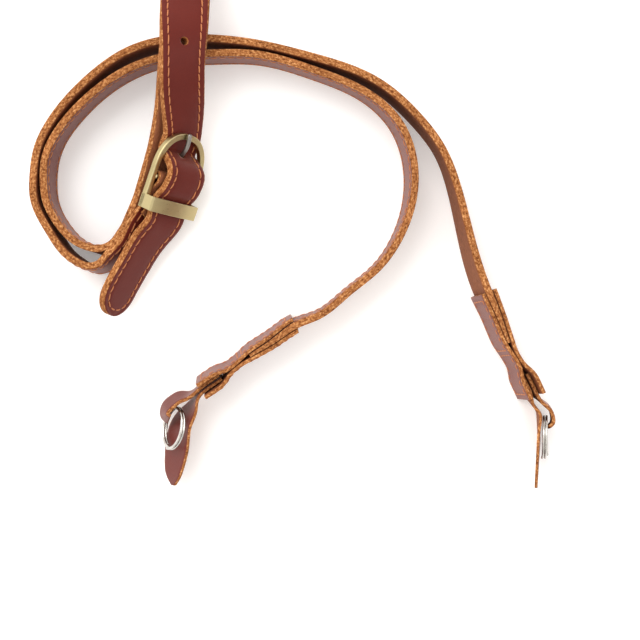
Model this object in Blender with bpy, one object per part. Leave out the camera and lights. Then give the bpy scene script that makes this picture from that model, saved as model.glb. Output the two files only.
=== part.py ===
"""Camera neck strap of thick leather, laid in loops on a table: two strap halves joined by a buckle, and at each end a
sandwich connector, a curled ring loop, a petal shaped guard and a split ring.

The strap stands on its edge for most of its length. Each strip is a flat band swept along a route. A row of a route
gives the place of the strip's raised edge, how far its low edge is lifted off the table, and how far it leans to the
left of the way it runs (0 stands upright, 90 lies flat). Metres, +Z up, table at zero, +Y is the far side."""

import math

import bmesh
import bpy
import numpy as np

# the laid loops
LOOP_WIDTH = 0.190
LOOP_LENGTH = 0.286

# the strap
STRAP_WIDTH = 0.0162
STRAP_THICKNESS = 0.0026
EDGE_EASE = 0.0004
GAP = 0.0003
STEP = 0.005
SKIVED_THICKNESS = 0.0011
SKIVE_LENGTH = 0.0200
HAIRPIN_RADIUS = 0.0105
TIP_SECTIONS = 5

# adjusting holes
HOLE_RADIUS = 0.00125
HOLE_PITCH = 0.041
SPARE_HOLES = 2
HOLE_SIDES = 12

# the buckle
FRAME_SIDE = 0.0020
FRAME_DEPTH = 0.0022
FRAME_TOP = 0.0021
ARC_STEPS = 14
ARC_SQUARENESS = 2.25
WINDOW_PLAY = 0.0011
BAR_RADIUS = 0.0011
BAR_TO_ARC = 0.0036
ARC_RISE = 0.0134
BAR_TO_KEEPER = 0.0090
KEEPER_LENGTH = 0.0050
KEEPER_SHEET = 0.0012
KEEPER_PLAY = 0.0002
KEEPER_CROWN = 0.0005
KEEPER_CORNER = 0.0006
BUCKLE_PLACE = (-0.2695, 0.170, 0.725)
BUCKLE_HEADING = 20.0
BUCKLE_RISE = 8.5
BUCKLE_ROLL = 53.0
FOLD_LEG = 0.0185
FOLD_WIDTH = 0.0146
FOLD_DROP = 0.0070
USED_HOLE = 0.0110
PRONG_RADIUS = 0.0008
PRONG_SLOT = 0.0034

# the connectors and what hangs from them
COVER_LENGTH = 0.0400
COVER_THICKNESS = 0.0014
STRAP_IN_COVER = 0.0210
PINCH_FROM = 0.0095
CONNECTOR_STEP = 0.0025
LOOP_THICKNESS = 0.0013
LOOP_STRIP = 0.0095
GUARD_THICKNESS = 0.0011
GUARD_WIDTH = 0.0160
TAIL = 0.0080
TAIL_GAP = 0.0006
RING_RADIUS = 0.0078
RING_WIRE = 0.0011
RING_WIDTH = 0.0008
RING_TURN_GAP = 0.00015
RING_TURNS = 1.93
RING_STEPS = 46

# columns: x and y of the raised edge as shares of LOOP_WIDTH and LOOP_LENGTH, lift as a share of STRAP_WIDTH, lean
BUCKLE_HALF_ROUTE = [
    (0.396, -0.092, 0.00, -6),
    (0.375, -0.063, 0.00, -6),
    (0.348, -0.032, 0.00, -6),
    (0.326, 0.005, 0.00, -6),
    (0.305, 0.039, 0.00, -7),
    (0.283, 0.082, 0.00, -6),
    (0.250, 0.163, 0.00, -2),
    (0.220, 0.211, 0.00, 0),
    (0.180, 0.246, 0.00, 0),
    (0.107, 0.288, 0.00, 1),
    (-0.016, 0.319, 0.00, 3),
    (-0.118, 0.335, 0.00, 3),
    (-0.205, 0.341, 0.00, 3),
    (-0.291, 0.338, 0.00, 3),
    (-0.358, 0.323, 0.00, 3),
    (-0.414, 0.297, 0.00, 2),
    (-0.459, 0.268, 0.00, 0),
    (-0.495, 0.236, 0.00, 0),
    (-0.515, 0.207, 0.00, 0),
    (-0.522, 0.177, 0.00, 0),
    (-0.521, 0.146, 0.00, 0),
    (-0.494, 0.108, 0.00, 0),
    (-0.465, 0.081, 0.00, 0),
    (-0.440, 0.069, 0.00, 0),
    (-0.420, 0.065, 0.00, 3),
    (-0.400, 0.069, 0.00, 5),
    (-0.383, 0.080, 0.06, 13),
    (-0.368, 0.092, 0.16, 24),
    (-0.3555, 0.106, 0.21, 32),
    (-0.345, 0.120, 0.22, 35),
]

TIP_HALF_ROUTE = [
    (-0.216, -0.087, 0.00, -9),
    (-0.173, -0.067, 0.00, -9),
    (-0.129, -0.044, 0.00, -9),
    (-0.086, -0.026, 0.00, -8),
    (-0.043, -0.006, 0.00, -6),
    (-0.003, 0.005, 0.00, -4),
    (0.051, 0.033, 0.00, -3),
    (0.104, 0.062, 0.00, -3),
    (0.145, 0.100, 0.00, -4),
    (0.173, 0.174, 0.00, -6),
    (0.141, 0.242, 0.00, -3),
    (0.087, 0.274, 0.00, 1),
    (-0.015, 0.303, 0.00, 3),
    (-0.116, 0.321, 0.00, 3),
    (-0.204, 0.322, 0.00, 3),
    (-0.295, 0.316, 0.00, 4),
    (-0.358, 0.300, 0.00, 4),
    (-0.407, 0.278, 0.00, 4),
    (-0.453, 0.249, 0.00, 3),
    (-0.485, 0.220, 0.00, 2),
    (-0.500, 0.196, 0.00, 0),
    (-0.503, 0.173, 0.00, 0),
    (-0.498, 0.144, 0.00, 0),
    (-0.476, 0.116, 0.00, 0),
    (-0.447, 0.096, 0.00, 0),
    (-0.420, 0.088, 0.00, 0),
    (-0.400, 0.087, 0.00, 3),
    (-0.387, 0.091, 0.00, 12),
    (-0.374, 0.100, 0.00, 22),
    (-0.361, 0.112, 0.00, 24),
    (-0.351, 0.125, 0.00, 20),
    (-0.340, 0.141, 0.02, 20),
    (-0.326, 0.172, 0.10, 33),
    (-0.312, 0.204, 0.20, 40),
    (-0.304, 0.226, 0.28, 43),
    (-0.297, 0.249, 0.41, 47),
    (-0.291, 0.272, 0.60, 51),
    (-0.285, 0.306, 1.02, 60),
    (-0.283, 0.338, 1.04, 66),
    (-0.284, 0.380, 0.82, 73),
    (-0.284, 0.440, 0.47, 81),
    (-0.284, 0.520, 0.20, 88),
    (-0.284, 0.620, 0.07, 90),
    (-0.284, 0.742, 0.03, 90),
]

# the way back from the hairpin: the strap runs toward -Y here, so a flat strip leans -90
RETURN_ROUTE = [
    (-0.284, 0.742, 1.28, -90),
    (-0.284, 0.620, 1.16, -90),
    (-0.284, 0.520, 1.08, -90),
    (-0.284, 0.440, 1.06, -88),
    (-0.283, 0.378, 1.24, -78),
    (-0.278, 0.322, 1.35, -58),
    (-0.2785, 0.276, 0.96, -49),
]

# the free tip beyond the keeper
TIP_ROUTE = [
    (-0.3285, 0.108, 0.23, -30),
    (-0.3585, 0.076, 0.18, -28),
    (-0.3810, 0.051, 0.13, -28),
    (-0.3950, 0.031, 0.09, -27),
    (-0.4060, 0.010, 0.06, -27),
]

# heights of the strap and of the pin above the frame's plane, where each bears on the buckle
BODY_UNDER_FRAME = -FRAME_DEPTH / 2 - GAP
OVER_BAR = BAR_RADIUS + 2 * GAP + 2 * PRONG_RADIUS + STRAP_THICKNESS / 2
UNDER_ARC = -FRAME_DEPTH / 2 - GAP - STRAP_THICKNESS / 2
IN_KEEPER = BODY_UNDER_FRAME + 4 * GAP + SKIVED_THICKNESS + STRAP_THICKNESS / 2
KEEPER_ROOF = IN_KEEPER + STRAP_THICKNESS / 2 + GAP + KEEPER_PLAY
OVER_ARC = FRAME_DEPTH / 2 + GAP + PRONG_RADIUS

# columns: shift toward the low side as a share of STRAP_WIDTH, place along the buckle as a share of ARC_RISE,
# height above the frame's plane, added roll
THROUGH_BUCKLE = [
    (-0.05, 1.32, UNDER_ARC, 0),
    (0.0, 1.00, UNDER_ARC * 1.03, 0),
    (0.0, 0.735, UNDER_ARC * 1.07, 0),
    (-0.005, 0.59, 0.0, 0),
    (0.01, 0.44, OVER_BAR * 0.68, 0),
    (0.04, 0.25, OVER_BAR, 0),
    (0.05, 0.0, OVER_BAR, 0),
    (0.02, -0.27, OVER_BAR * 0.7 + IN_KEEPER * 0.3, 0),
    (0.0, -0.52, IN_KEEPER, 0),
    (-0.01, -0.84, IN_KEEPER, 0),
    (-0.04, -1.12, IN_KEEPER + GAP, -3),
]
INTO_BUCKLE = [
    (-0.07, -1.02),
    (-0.04, -0.64),
]

# columns: shift toward the low side as a share of STRAP_WIDTH, place along the buckle as a share of ARC_RISE,
# height above the frame's plane as a share of OVER_ARC
PRONG_BEND = [
    (0.0, 0.28, -0.52),
    (0.0, 0.45, -0.44),
    (-0.01, 0.62, -0.14),
    (-0.03, 0.78, 0.40),
    (-0.05, 0.94, 0.85),
    (-0.07, 1.08, 1.0),
    (-0.09, 1.20, 1.02),
    (-0.10, 1.30, 1.0),
]

# columns: x and y of the strip's middle as shares of LOOP_WIDTH and LOOP_LENGTH, its height as a share of
# STRAP_WIDTH, lean
LEFT_LOOP = [
    (-0.246, -0.0934, 0.50, 12),
    (-0.260, -0.0950, 0.50, 20),
    (-0.2747, -0.1010, 0.50, 24),
    (-0.2865, -0.1095, 0.50, 24),
    (-0.2880, -0.1175, 0.50, 24),
    (-0.2800, -0.1225, 0.50, 24),
]
LEFT_GUARD = [
    (-0.230, -0.097, 0.51, 12),
    (-0.235, -0.105, 0.50, 18),
    (-0.2525, -0.1233, 0.49, 28),
    (-0.2637, -0.1455, 0.46, 35),
    (-0.269, -0.169, 0.45, 36),
    (-0.273, -0.1887, 0.44, 36),
    (-0.2726, -0.204, 0.43, 36),
]
RIGHT_LOOP = [
    (0.4120, -0.1010, 0.50, -6),
    (0.4240, -0.1075, 0.50, -8),
    (0.4315, -0.1185, 0.50, -8),
    (0.4305, -0.1275, 0.50, -8),
    (0.4225, -0.1320, 0.50, -8),
]
RIGHT_GUARD = [
    (0.3942, -0.1035, 0.50, -6),
    (0.4045, -0.1120, 0.50, -6),
    (0.4065, -0.1283, 0.50, -9),
    (0.4058, -0.148, 0.50, -12),
    (0.4042, -0.169, 0.50, -12),
    (0.4028, -0.1875, 0.49, -12),
    (0.4014, -0.2066, 0.48, -12),
]

# columns: share of the petal's length, share of GUARD_WIDTH
PETAL = [(0.0, 0.60), (0.15, 0.62), (0.33, 0.85), (0.52, 1.0), (0.70, 0.98), (0.84, 0.82), (0.94, 0.54), (1.0, 0.16)]

# x, y and height of the ring's middle as shares, its lean, and the heading of its far end
LEFT_RING = (-0.2715, -0.1330, 0.530, 34, 12)
RIGHT_RING = (0.4170, -0.1440, 0.530, -10, 0)


def unit(v):
    return v / np.linalg.norm(v)


def material(name, colour, metallic, roughness):
    """A plain named material."""
    made = bpy.data.materials.new(name)
    made.use_nodes = True
    shader = made.node_tree.nodes["Principled BSDF"]
    shader.inputs["Base Color"].default_value = (*colour, 1.0)
    shader.inputs["Metallic"].default_value = metallic
    shader.inputs["Roughness"].default_value = roughness
    return made


def leather(name):
    """The burgundy leather of one piece."""
    return material(name + "_leather", (0.16, 0.03, 0.02), 0.0, 0.5)


def steel(name):
    """The bright steel of one piece."""
    return material(name + "_steel", (0.62, 0.61, 0.58), 1.0, 0.3)


def solid(name, points, faces, look):
    """An object from points and faces."""
    mesh = bpy.data.meshes.new(name)
    mesh.from_pydata([tuple(p) for p in points], [], faces)
    if look:
        mesh.materials.append(look)
    shape = bmesh.new()
    shape.from_mesh(mesh)
    bmesh.ops.recalc_face_normals(shape, faces=shape.faces)
    if shape.calc_volume(signed=True) < 0:
        bmesh.ops.reverse_faces(shape, faces=shape.faces)
    shape.to_mesh(mesh)
    shape.free()
    mesh.update()
    made = bpy.data.objects.new(name, mesh)
    bpy.context.scene.collection.objects.link(made)
    return made


def spline(knots, values, at):
    """A natural cubic spline through rows of values at the knots, read at the places in at."""
    count = len(knots)
    span = np.diff(knots)
    system = np.eye(count)
    right = np.zeros((count, values.shape[1]))
    slope = np.diff(values, axis=0) / span[:, None]
    for i in range(1, count - 1):
        system[i, i - 1 : i + 2] = span[i - 1], 2 * (span[i - 1] + span[i]), span[i]
        right[i] = 6 * (slope[i] - slope[i - 1])
    bend = np.linalg.solve(system, right)
    i = np.clip(np.searchsorted(knots, at, side="right") - 1, 0, count - 2)
    h = span[i][:, None]
    a = (knots[i + 1] - at)[:, None] / h
    b = 1 - a
    curve = ((a**3 - a) * bend[i] + (b**3 - b) * bend[i + 1]) * h**2 / 6
    return a * values[i] + b * values[i + 1] + curve


def laid(rows, width, thickness):
    """Middle points and width directions (from the low edge to the raised edge) of a route's rows."""
    places = np.array([(r[0] * LOOP_WIDTH, r[1] * LOOP_LENGTH) for r in rows])
    heading = np.gradient(places, axis=0)
    middles, across = [], []
    for place, way, row in zip(places, heading, rows):
        along = unit(np.array([way[0], way[1], 0.0]))
        left = np.array([-along[1], along[0], 0.0])
        lean = math.radians(row[3])
        toward = math.cos(lean) * np.array([0, 0, 1.0]) + math.sin(lean) * left
        foot = width * math.cos(lean) + thickness / 2 * abs(math.sin(lean))
        edge = np.array([place[0], place[1], row[2] * STRAP_WIDTH + foot])
        middles.append(edge - toward * width / 2)
        across.append(toward)
    return middles, across


def hung(rows):
    """Middle points and width directions of a route whose rows give the strip's own middle."""
    places = np.array([(r[0] * LOOP_WIDTH, r[1] * LOOP_LENGTH, r[2] * STRAP_WIDTH) for r in rows])
    heading = np.gradient(places, axis=0)
    across = []
    for way, row in zip(heading, rows):
        along = unit(np.array([way[0], way[1], 0.0]))
        left = np.array([-along[1], along[0], 0.0])
        lean = math.radians(row[3])
        across.append(math.cos(lean) * np.array([0, 0, 1.0]) + math.sin(lean) * left)
    return list(places), across


def route(middles, across, step=STEP):
    """Evenly spaced stations along a smooth curve: middles, unit directions along, across and out of the face."""
    middles, across = np.array(middles), np.array(across)
    knots = np.concatenate([[0], np.cumsum(np.linalg.norm(np.diff(middles, axis=0), axis=1))])
    fine = np.linspace(0, knots[-1], 40 * len(knots))
    curve = spline(knots, middles, fine)
    length = np.concatenate([[0], np.cumsum(np.linalg.norm(np.diff(curve, axis=0), axis=1))])
    count = max(2, round(length[-1] / step))
    at = np.interp(np.linspace(0, length[-1], count + 1), length, fine)
    middle = spline(knots, middles, at)
    along = np.gradient(spline(knots, middles, fine), fine, axis=0)
    along = np.array([np.interp(at, fine, along[:, k]) for k in range(3)]).T
    return frames(middle, along, spline(knots, across, at))


def frames(middle, along, across):
    """The stations with their three directions made square to each other."""
    along = along / np.linalg.norm(along, axis=1)[:, None]
    across = across - along * np.sum(across * along, axis=1)[:, None]
    across = across / np.linalg.norm(across, axis=1)[:, None]
    return middle, along, across, np.cross(across, along)


def travelled(stations):
    """Distance of each station from the first."""
    steps = np.linalg.norm(np.diff(stations[0], axis=0), axis=1)
    return np.concatenate([[0], np.cumsum(steps)])


def joined(*pieces):
    """One run of stations from several, in order."""
    middle = np.concatenate([p[0] for p in pieces])
    across = np.concatenate([p[2] for p in pieces])
    return frames(middle, np.gradient(middle, axis=0), across)


def shifted(stations, off):
    """The stations moved out of the face by off, one value or one for each."""
    middle, along, across, out = stations
    moved = middle + out * np.broadcast_to(off, len(middle))[:, None]
    return frames(moved, np.gradient(moved, axis=0), across)


def band(name, stations, width, thickness, look, ease=EDGE_EASE):
    """A flat strip with eased corners. Width and thickness are one value or one for each station."""
    middle, _, across, out = stations
    count = len(middle)
    half_w = np.broadcast_to(width, count) / 2
    half_t = np.broadcast_to(thickness, count) / 2
    points = []
    for i in range(count):
        w, t = half_w[i], half_t[i]
        e = min(ease, w * 0.5, t * 0.5)
        ring = [(w, t - e), (w - e, t), (e - w, t), (-w, t - e), (-w, e - t), (e - w, -t), (w - e, -t), (w, e - t)]
        points += [middle[i] + across[i] * a + out[i] * b for a, b in ring]
    faces = [tuple(range(8)), tuple(reversed(range(8 * count - 8, 8 * count)))]
    for i in range(count - 1):
        for k in range(8):
            n = (k + 1) % 8
            faces.append((8 * i + k, 8 * i + 8 + k, 8 * i + 8 + n, 8 * i + n))
    return solid(name, points, faces, look)


def rod(name, points, radius, sides, look=None):
    """A round bar through points."""
    points = np.array(points)
    along = np.gradient(points, axis=0)
    side = np.array([1.0, 0, 0]) if abs(unit(along[0])[0]) < 0.8 else np.array([0, 1.0, 0])
    verts, faces = [], []
    for i, p in enumerate(points):
        a = unit(along[i])
        side = unit(side - a * np.dot(side, a))
        up = np.cross(a, side)
        for k in range(sides):
            turn = 2 * math.pi * k / sides
            verts.append(p + radius * (math.cos(turn) * side + math.sin(turn) * up))
    for i in range(len(points) - 1):
        for k in range(sides):
            n = (k + 1) % sides
            faces.append((sides * i + k, sides * i + n, sides * i + sides + n, sides * i + sides + k))
    faces.append(tuple(reversed(range(sides))))
    faces.append(tuple(range(len(verts) - sides, len(verts))))
    return solid(name, verts, faces, look)


def boolean(target, tool, operation):
    """Cuts the tool from the target, or joins it on, and removes the tool."""
    change = target.modifiers.new(operation.lower(), "BOOLEAN")
    change.operation = operation
    change.solver = "EXACT"
    change.object = tool
    graph = bpy.context.evaluated_depsgraph_get()
    mesh = bpy.data.meshes.new_from_object(target.evaluated_get(graph))
    target.modifiers.clear()
    target.data = mesh
    bpy.data.objects.remove(tool)


class Buckle:
    """The buckle's own directions: toward the round end, toward the low side, and out of its plane."""

    def __init__(self):
        x, y, z = BUCKLE_PLACE
        heading, rise, roll = (math.radians(v) for v in (BUCKLE_HEADING, BUCKLE_RISE, BUCKLE_ROLL))
        self.bar = np.array([x * LOOP_WIDTH, y * LOOP_LENGTH, z * STRAP_WIDTH])
        level = np.array([math.sin(heading), math.cos(heading), 0.0])
        self.end = math.cos(rise) * level + math.sin(rise) * np.array([0, 0, 1.0])
        side = np.array([math.cos(heading), -math.sin(heading), 0.0])
        top = np.cross(side, self.end)
        self.low = math.cos(roll) * side - math.sin(roll) * top
        self.out = math.sin(roll) * side + math.cos(roll) * top

    def at(self, low, end, out):
        return self.bar + self.low * low + self.end * end + self.out * out

    def turned(self, degrees):
        """The direction to the raised side, rolled further by so many degrees."""
        more = math.radians(degrees)
        return -math.cos(more) * self.low + math.sin(more) * self.out


def block(name, buckle, low, end, out):
    """A box in the buckle's directions, from three (from, to) pairs."""
    corners = [buckle.at(a, b, c) for c in out for b in end for a in low]
    faces = [(0, 2, 3, 1), (4, 5, 7, 6), (0, 1, 5, 4), (2, 6, 7, 3), (0, 4, 6, 2), (1, 3, 7, 5)]
    return solid(name, corners, faces, None)


def outline_sweep(name, places, sections, buckle, look):
    """Sweeps sections along places. A section is four (low, end, out) corners given for each place."""
    points = [buckle.at(*corner) for ring in sections for corner in ring]
    count = len(places)
    faces = [(3, 2, 1, 0), tuple(4 * count - 4 + k for k in range(4))]
    for i in range(count - 1):
        for k in range(4):
            n = (k + 1) % 4
            faces.append((4 * i + k, 4 * i + n, 4 * i + 4 + n, 4 * i + 4 + k))
    return solid(name, points, faces, look)


def make_buckle(buckle):
    """The stirrup with its bar and its keeper, one casting."""
    inner = STRAP_WIDTH / 2 + WINDOW_PLAY
    outer = inner + FRAME_SIDE
    foot = -BAR_TO_KEEPER - KEEPER_LENGTH / 2
    sections = [((-outer, foot), (-inner, foot)), ((-outer, 0.0), (-inner, 0.0))]
    for k in range(ARC_STEPS + 1):
        turn = math.pi * k / ARC_STEPS
        side, top = -math.cos(turn), math.sin(turn)
        fuller = (abs(side) ** ARC_SQUARENESS + top**ARC_SQUARENESS) ** (-1 / ARC_SQUARENESS)
        side, top = side * fuller, top * fuller
        thick = FRAME_SIDE + (FRAME_TOP - FRAME_SIDE) * top
        far = (outer * side, BAR_TO_ARC + ARC_RISE * top)
        near = ((outer - thick) * side, BAR_TO_ARC + (ARC_RISE - thick) * top)
        sections.append((far, near))
    sections += [((outer, 0.0), (inner, 0.0)), ((outer, foot), (inner, foot))]
    half = FRAME_DEPTH / 2
    rings = [[(*a, half), (*b, half), (*b, -half), (*a, -half)] for a, b in sections]
    brass = material("buckle_frame_brass", (0.55, 0.45, 0.25), 1.0, 0.35)
    frame = outline_sweep("buckle_frame", sections, rings, buckle, brass)
    bar = rod("bar", [buckle.at(-inner - FRAME_SIDE / 2, 0, 0), buckle.at(inner + FRAME_SIDE / 2, 0, 0)], BAR_RADIUS, 12)
    boolean(frame, bar, "UNION")
    shares = (-1.0, -0.5, 0.0, 0.5, 1.0)
    flat = outer - KEEPER_CORNER
    wall, roof = outer - KEEPER_SHEET, KEEPER_ROOF
    crest = roof + KEEPER_SHEET
    profile = [(-outer, -half), (-outer, crest - KEEPER_CORNER)]
    profile += [(flat * share, crest + KEEPER_CROWN * (1 - share**2)) for share in shares]
    profile += [(outer, crest - KEEPER_CORNER), (outer, -half)]
    inside = [(-wall, -half), (-wall, roof - KEEPER_CORNER / 2)]
    inside += [((wall - KEEPER_CORNER / 2) * share, roof + KEEPER_CROWN * (1 - share**2)) for share in shares]
    inside += [(wall, roof - KEEPER_CORNER / 2), (wall, -half)]
    back, front = -BAR_TO_KEEPER - KEEPER_LENGTH / 2, -BAR_TO_KEEPER + KEEPER_LENGTH / 2
    rings = []
    for a, b in zip(profile, inside):
        rings.append([(a[0], front, a[1]), (b[0], front, b[1]), (b[0], back, b[1]), (a[0], back, a[1])])
    keeper = outline_sweep("keeper", profile, rings, buckle, None)
    boolean(frame, keeper, "UNION")
    return frame


def make_tip_half(buckle):
    """The long half, from inside the left connector to its rounded tip, with its holes. Returns its whole route."""
    middles, across = laid(TIP_HALF_ROUTE, STRAP_WIDTH, STRAP_THICKNESS)
    back_middles, back_across = laid(RETURN_ROUTE, STRAP_WIDTH, STRAP_THICKNESS)
    centre = (middles[-1] + back_middles[0]) / 2
    rise = (back_middles[0][2] - middles[-1][2]) / 2
    for degrees in (-60, -30, 0, 30, 60):
        turn = math.radians(degrees)
        middles.append(centre + np.array([0, HAIRPIN_RADIUS * math.cos(turn), rise * math.sin(turn)]))
        across.append(np.array([-1.0, 0, 0]))
    middles += back_middles
    across += back_across
    for low, end, out, roll in THROUGH_BUCKLE:
        middles.append(buckle.at(low * STRAP_WIDTH, end * ARC_RISE, out))
        across.append(buckle.turned(-roll))
    tip_middles, tip_across = laid(TIP_ROUTE, STRAP_WIDTH, STRAP_THICKNESS)
    whole = route(middles + tip_middles, across + tip_across, STEP / 2)
    near_buckle = np.arange(len(whole[0])) > nearest(whole, middles[-len(THROUGH_BUCKLE) - 1])
    whole = chosen(whole, near_buckle | (np.arange(len(whole[0])) % 2 == 0))
    strap = chosen(whole, travelled(whole) > STRAP_IN_COVER)
    strap, widths = rounded_tip(strap, STRAP_WIDTH / 2)
    thickness = np.interp(travelled(strap), (0, COVER_LENGTH - STRAP_IN_COVER), (SKIVED_THICKNESS, STRAP_THICKNESS))
    made = band("strap_tip_half", strap, widths, thickness, leather("strap_tip_half"))
    run = travelled(strap)
    used = run[nearest(strap, buckle.at(0, USED_HOLE, 0))]
    for k in range(1, SPARE_HOLES + 1):
        i = int(np.argmin(abs(run - (used - k * HOLE_PITCH))))
        through = strap[3][i] * STRAP_THICKNESS
        hole = rod("hole", [strap[0][i] - through, strap[0][i] + through], HOLE_RADIUS, HOLE_SIDES)
        boolean(made, hole, "DIFFERENCE")
    boolean(made, rod("prong_hole", pin_path(buckle)[1:], PRONG_RADIUS + GAP, HOLE_SIDES), "DIFFERENCE")
    return whole


def make_buckle_half(buckle):
    """The short half, from inside the right connector to the fold round the buckle's bar. Returns its whole route."""
    middles, across = laid(BUCKLE_HALF_ROUTE, STRAP_WIDTH, STRAP_THICKNESS)
    radius = BAR_RADIUS + GAP + SKIVED_THICKNESS / 2
    for low, end in INTO_BUCKLE:
        share = min(1.0, (-end * ARC_RISE - FOLD_DROP) / SKIVE_LENGTH)
        half = (SKIVED_THICKNESS + (STRAP_THICKNESS - SKIVED_THICKNESS) * share) / 2
        middles.append(buckle.at(low * STRAP_WIDTH, end * ARC_RISE, BODY_UNDER_FRAME - half))
        across.append(buckle.turned(0))
    for end in (-FOLD_DROP / 2, 0):
        middles.append(buckle.at(0, end, -radius))
        across.append(buckle.turned(0))
    body = route(middles, across)
    run = travelled(body)
    to_end = run[-1] - run
    full = np.interp(run, (STRAP_IN_COVER, COVER_LENGTH), (SKIVED_THICKNESS, STRAP_THICKNESS))
    thickness = np.interp(to_end, (FOLD_DROP, FOLD_DROP + SKIVE_LENGTH), (SKIVED_THICKNESS, STRAP_THICKNESS))
    thickness = np.minimum(full, thickness)
    turns = [math.radians(d) for d in (-60, -30, 0, 30, 60)]
    arc_middles = [buckle.at(0, radius * math.cos(t), radius * math.sin(t)) for t in turns]
    arc = frames(np.array(arc_middles), np.gradient(np.array(arc_middles), axis=0), np.array([across[-1]] * len(turns)))
    close = to_end < FOLD_LEG
    drop = np.clip(1 - to_end[close] / FOLD_DROP, 0, 1)
    drop = drop * drop * (3 - 2 * drop)
    lying = thickness[close] / 2 + 2 * GAP + SKIVED_THICKNESS / 2
    leg = shifted(chosen(body, close), -(lying + (2 * radius - lying) * drop))
    leg = tuple(a[::-1] for a in leg)
    inside = run > STRAP_IN_COVER
    strap = joined(chosen(body, inside), arc, leg)
    count = inside.sum()
    widths = np.full(len(strap[0]), STRAP_WIDTH)
    widths[count + len(turns) // 2 :] = FOLD_WIDTH
    thin = np.full(len(strap[0]) - count, SKIVED_THICKNESS)
    thickness = np.concatenate([thickness[inside], thin])
    made = band("strap_buckle_half", strap, widths, thickness, leather("strap_buckle_half"))
    slot_length = BAR_RADIUS + 2 * GAP + 2 * PRONG_RADIUS
    slot = block(
        "slot",
        buckle,
        (-PRONG_SLOT / 2, PRONG_SLOT / 2),
        (-slot_length, slot_length),
        (-2 * radius, 2 * radius),
    )
    boolean(made, slot, "DIFFERENCE")
    return body


def pin_path(buckle):
    """Middle line of the bent pin, from the bar up through the used hole and over the round end."""
    return [buckle.at(low * STRAP_WIDTH, end * ARC_RISE, share * OVER_ARC) for low, end, share in PRONG_BEND]


def prong_path(buckle):
    """Middle line of the prong: a hook round the bar, then the pin."""
    reach = BAR_RADIUS + GAP + PRONG_RADIUS
    turns = [math.radians(d) for d in range(90, 331, 24)]
    return [buckle.at(0, reach * math.cos(t), reach * math.sin(t)) for t in turns] + pin_path(buckle)


def make_connector(side, whole):
    """The two covers of a connector, sewn round the strap's end and the tails of what hangs from them."""
    run = travelled(whole)
    fine = resampled(whole, np.arange(0, COVER_LENGTH + CONNECTOR_STEP / 2, CONNECTOR_STEP), run)
    at = travelled(fine)
    tails = 2 * LOOP_THICKNESS + TAIL_GAP
    places = (0, TAIL, PINCH_FROM + 0.003, STRAP_IN_COVER - 0.002, STRAP_IN_COVER, COVER_LENGTH)
    inner = (tails, tails, 0, SKIVED_THICKNESS, SKIVED_THICKNESS, STRAP_THICKNESS)
    offset = np.interp(at, places, inner) / 2 + GAP + COVER_THICKNESS / 2
    for name, sign in (("inner", 1), ("outer", -1)):
        cover = side + "_cover_" + name
        band(cover, shifted(fine, sign * offset), STRAP_WIDTH, COVER_THICKNESS, leather(cover))
    return fine


def resampled(stations, at, run):
    """The stations read at other distances along the route."""
    read = [np.array([np.interp(at, run, a[:, k]) for k in range(3)]).T for a in stations]
    return frames(read[0], read[1], read[2])


def tail(fine, offset):
    """Middles and width directions of a tail, from inside the connector out to its lower end."""
    inside = [i for i, d in enumerate(travelled(fine)) if d < TAIL][::-1]
    moved = shifted(fine, offset)
    return [moved[0][i] for i in inside], [fine[2][i] for i in inside]


def make_ring_loop(side, fine, sign, rows):
    """The strip that comes out of the connector and curls round the ring."""
    middles, across = tail(fine, sign * (TAIL_GAP + LOOP_THICKNESS) / 2)
    more_middles, more_across = hung(rows)
    stations = route(middles + more_middles, across + more_across, 0.0014)
    band(side + "_ring_loop", stations, LOOP_STRIP, LOOP_THICKNESS, leather(side + "_ring_loop"))


def make_guard(side, fine, sign, rows):
    """The petal that hangs behind the ring."""
    middles, across = tail(fine, sign * (TAIL_GAP + GUARD_THICKNESS) / 2)
    more_middles, more_across = hung(rows)
    stations = route(middles + more_middles, across + more_across, 0.0022)
    run = travelled(stations)
    shares, widths = zip(*PETAL)
    width = GUARD_WIDTH * np.interp(run / run[-1], shares, widths)
    band(side + "_guard", stations, width, GUARD_THICKNESS, leather(side + "_guard"))


def make_ring(side, row):
    """A split ring: a flat wire wound twice."""
    centre = np.array([row[0] * LOOP_WIDTH, row[1] * LOOP_LENGTH, row[2] * STRAP_WIDTH])
    lean = math.radians(row[3])
    up = np.array([math.sin(lean), 0, math.cos(lean)])
    heading = math.radians(row[4])
    far = np.array([-math.sin(heading), -math.cos(heading), 0])
    up = unit(up - far * np.dot(up, far))
    axis = np.cross(up, far)
    middle, along, across = [], [], []
    pitch = RING_WIDTH + RING_TURN_GAP
    for k in range(RING_STEPS + 1):
        share = k / RING_STEPS
        turn = 2 * math.pi * RING_TURNS * share
        out = math.cos(turn) * far + math.sin(turn) * up
        slide = (share - 0.5) * RING_TURNS * pitch
        middle.append(centre + out * (RING_RADIUS - RING_WIRE / 2) + axis * slide)
        along.append(math.cos(turn) * up - math.sin(turn) * far)
        across.append(out)
    stations = frames(np.array(middle), np.array(along), np.array(across))
    band(side + "_ring", stations, RING_WIRE, RING_WIDTH, steel(side + "_ring"), RING_WIRE / 4)


def chosen(stations, which):
    return tuple(a[which] for a in stations)


def rounded_tip(stations, radius):
    """The stations with extra ones near the far end, and widths that round it off."""
    run = travelled(stations)
    straight = run[run < run[-1] - radius - STEP / 2]
    turns = [math.radians(90 * k / TIP_SECTIONS) for k in range(TIP_SECTIONS)] + [math.radians(83)]
    curved = [run[-1] - radius + radius * math.sin(t) for t in turns]
    widths = [2 * radius] * len(straight) + [2 * radius * math.cos(t) for t in turns]
    return resampled(stations, np.concatenate([straight, curved]), run), np.array(widths)


def nearest(stations, place):
    return int(np.argmin(np.linalg.norm(stations[0] - place, axis=1)))


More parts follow.
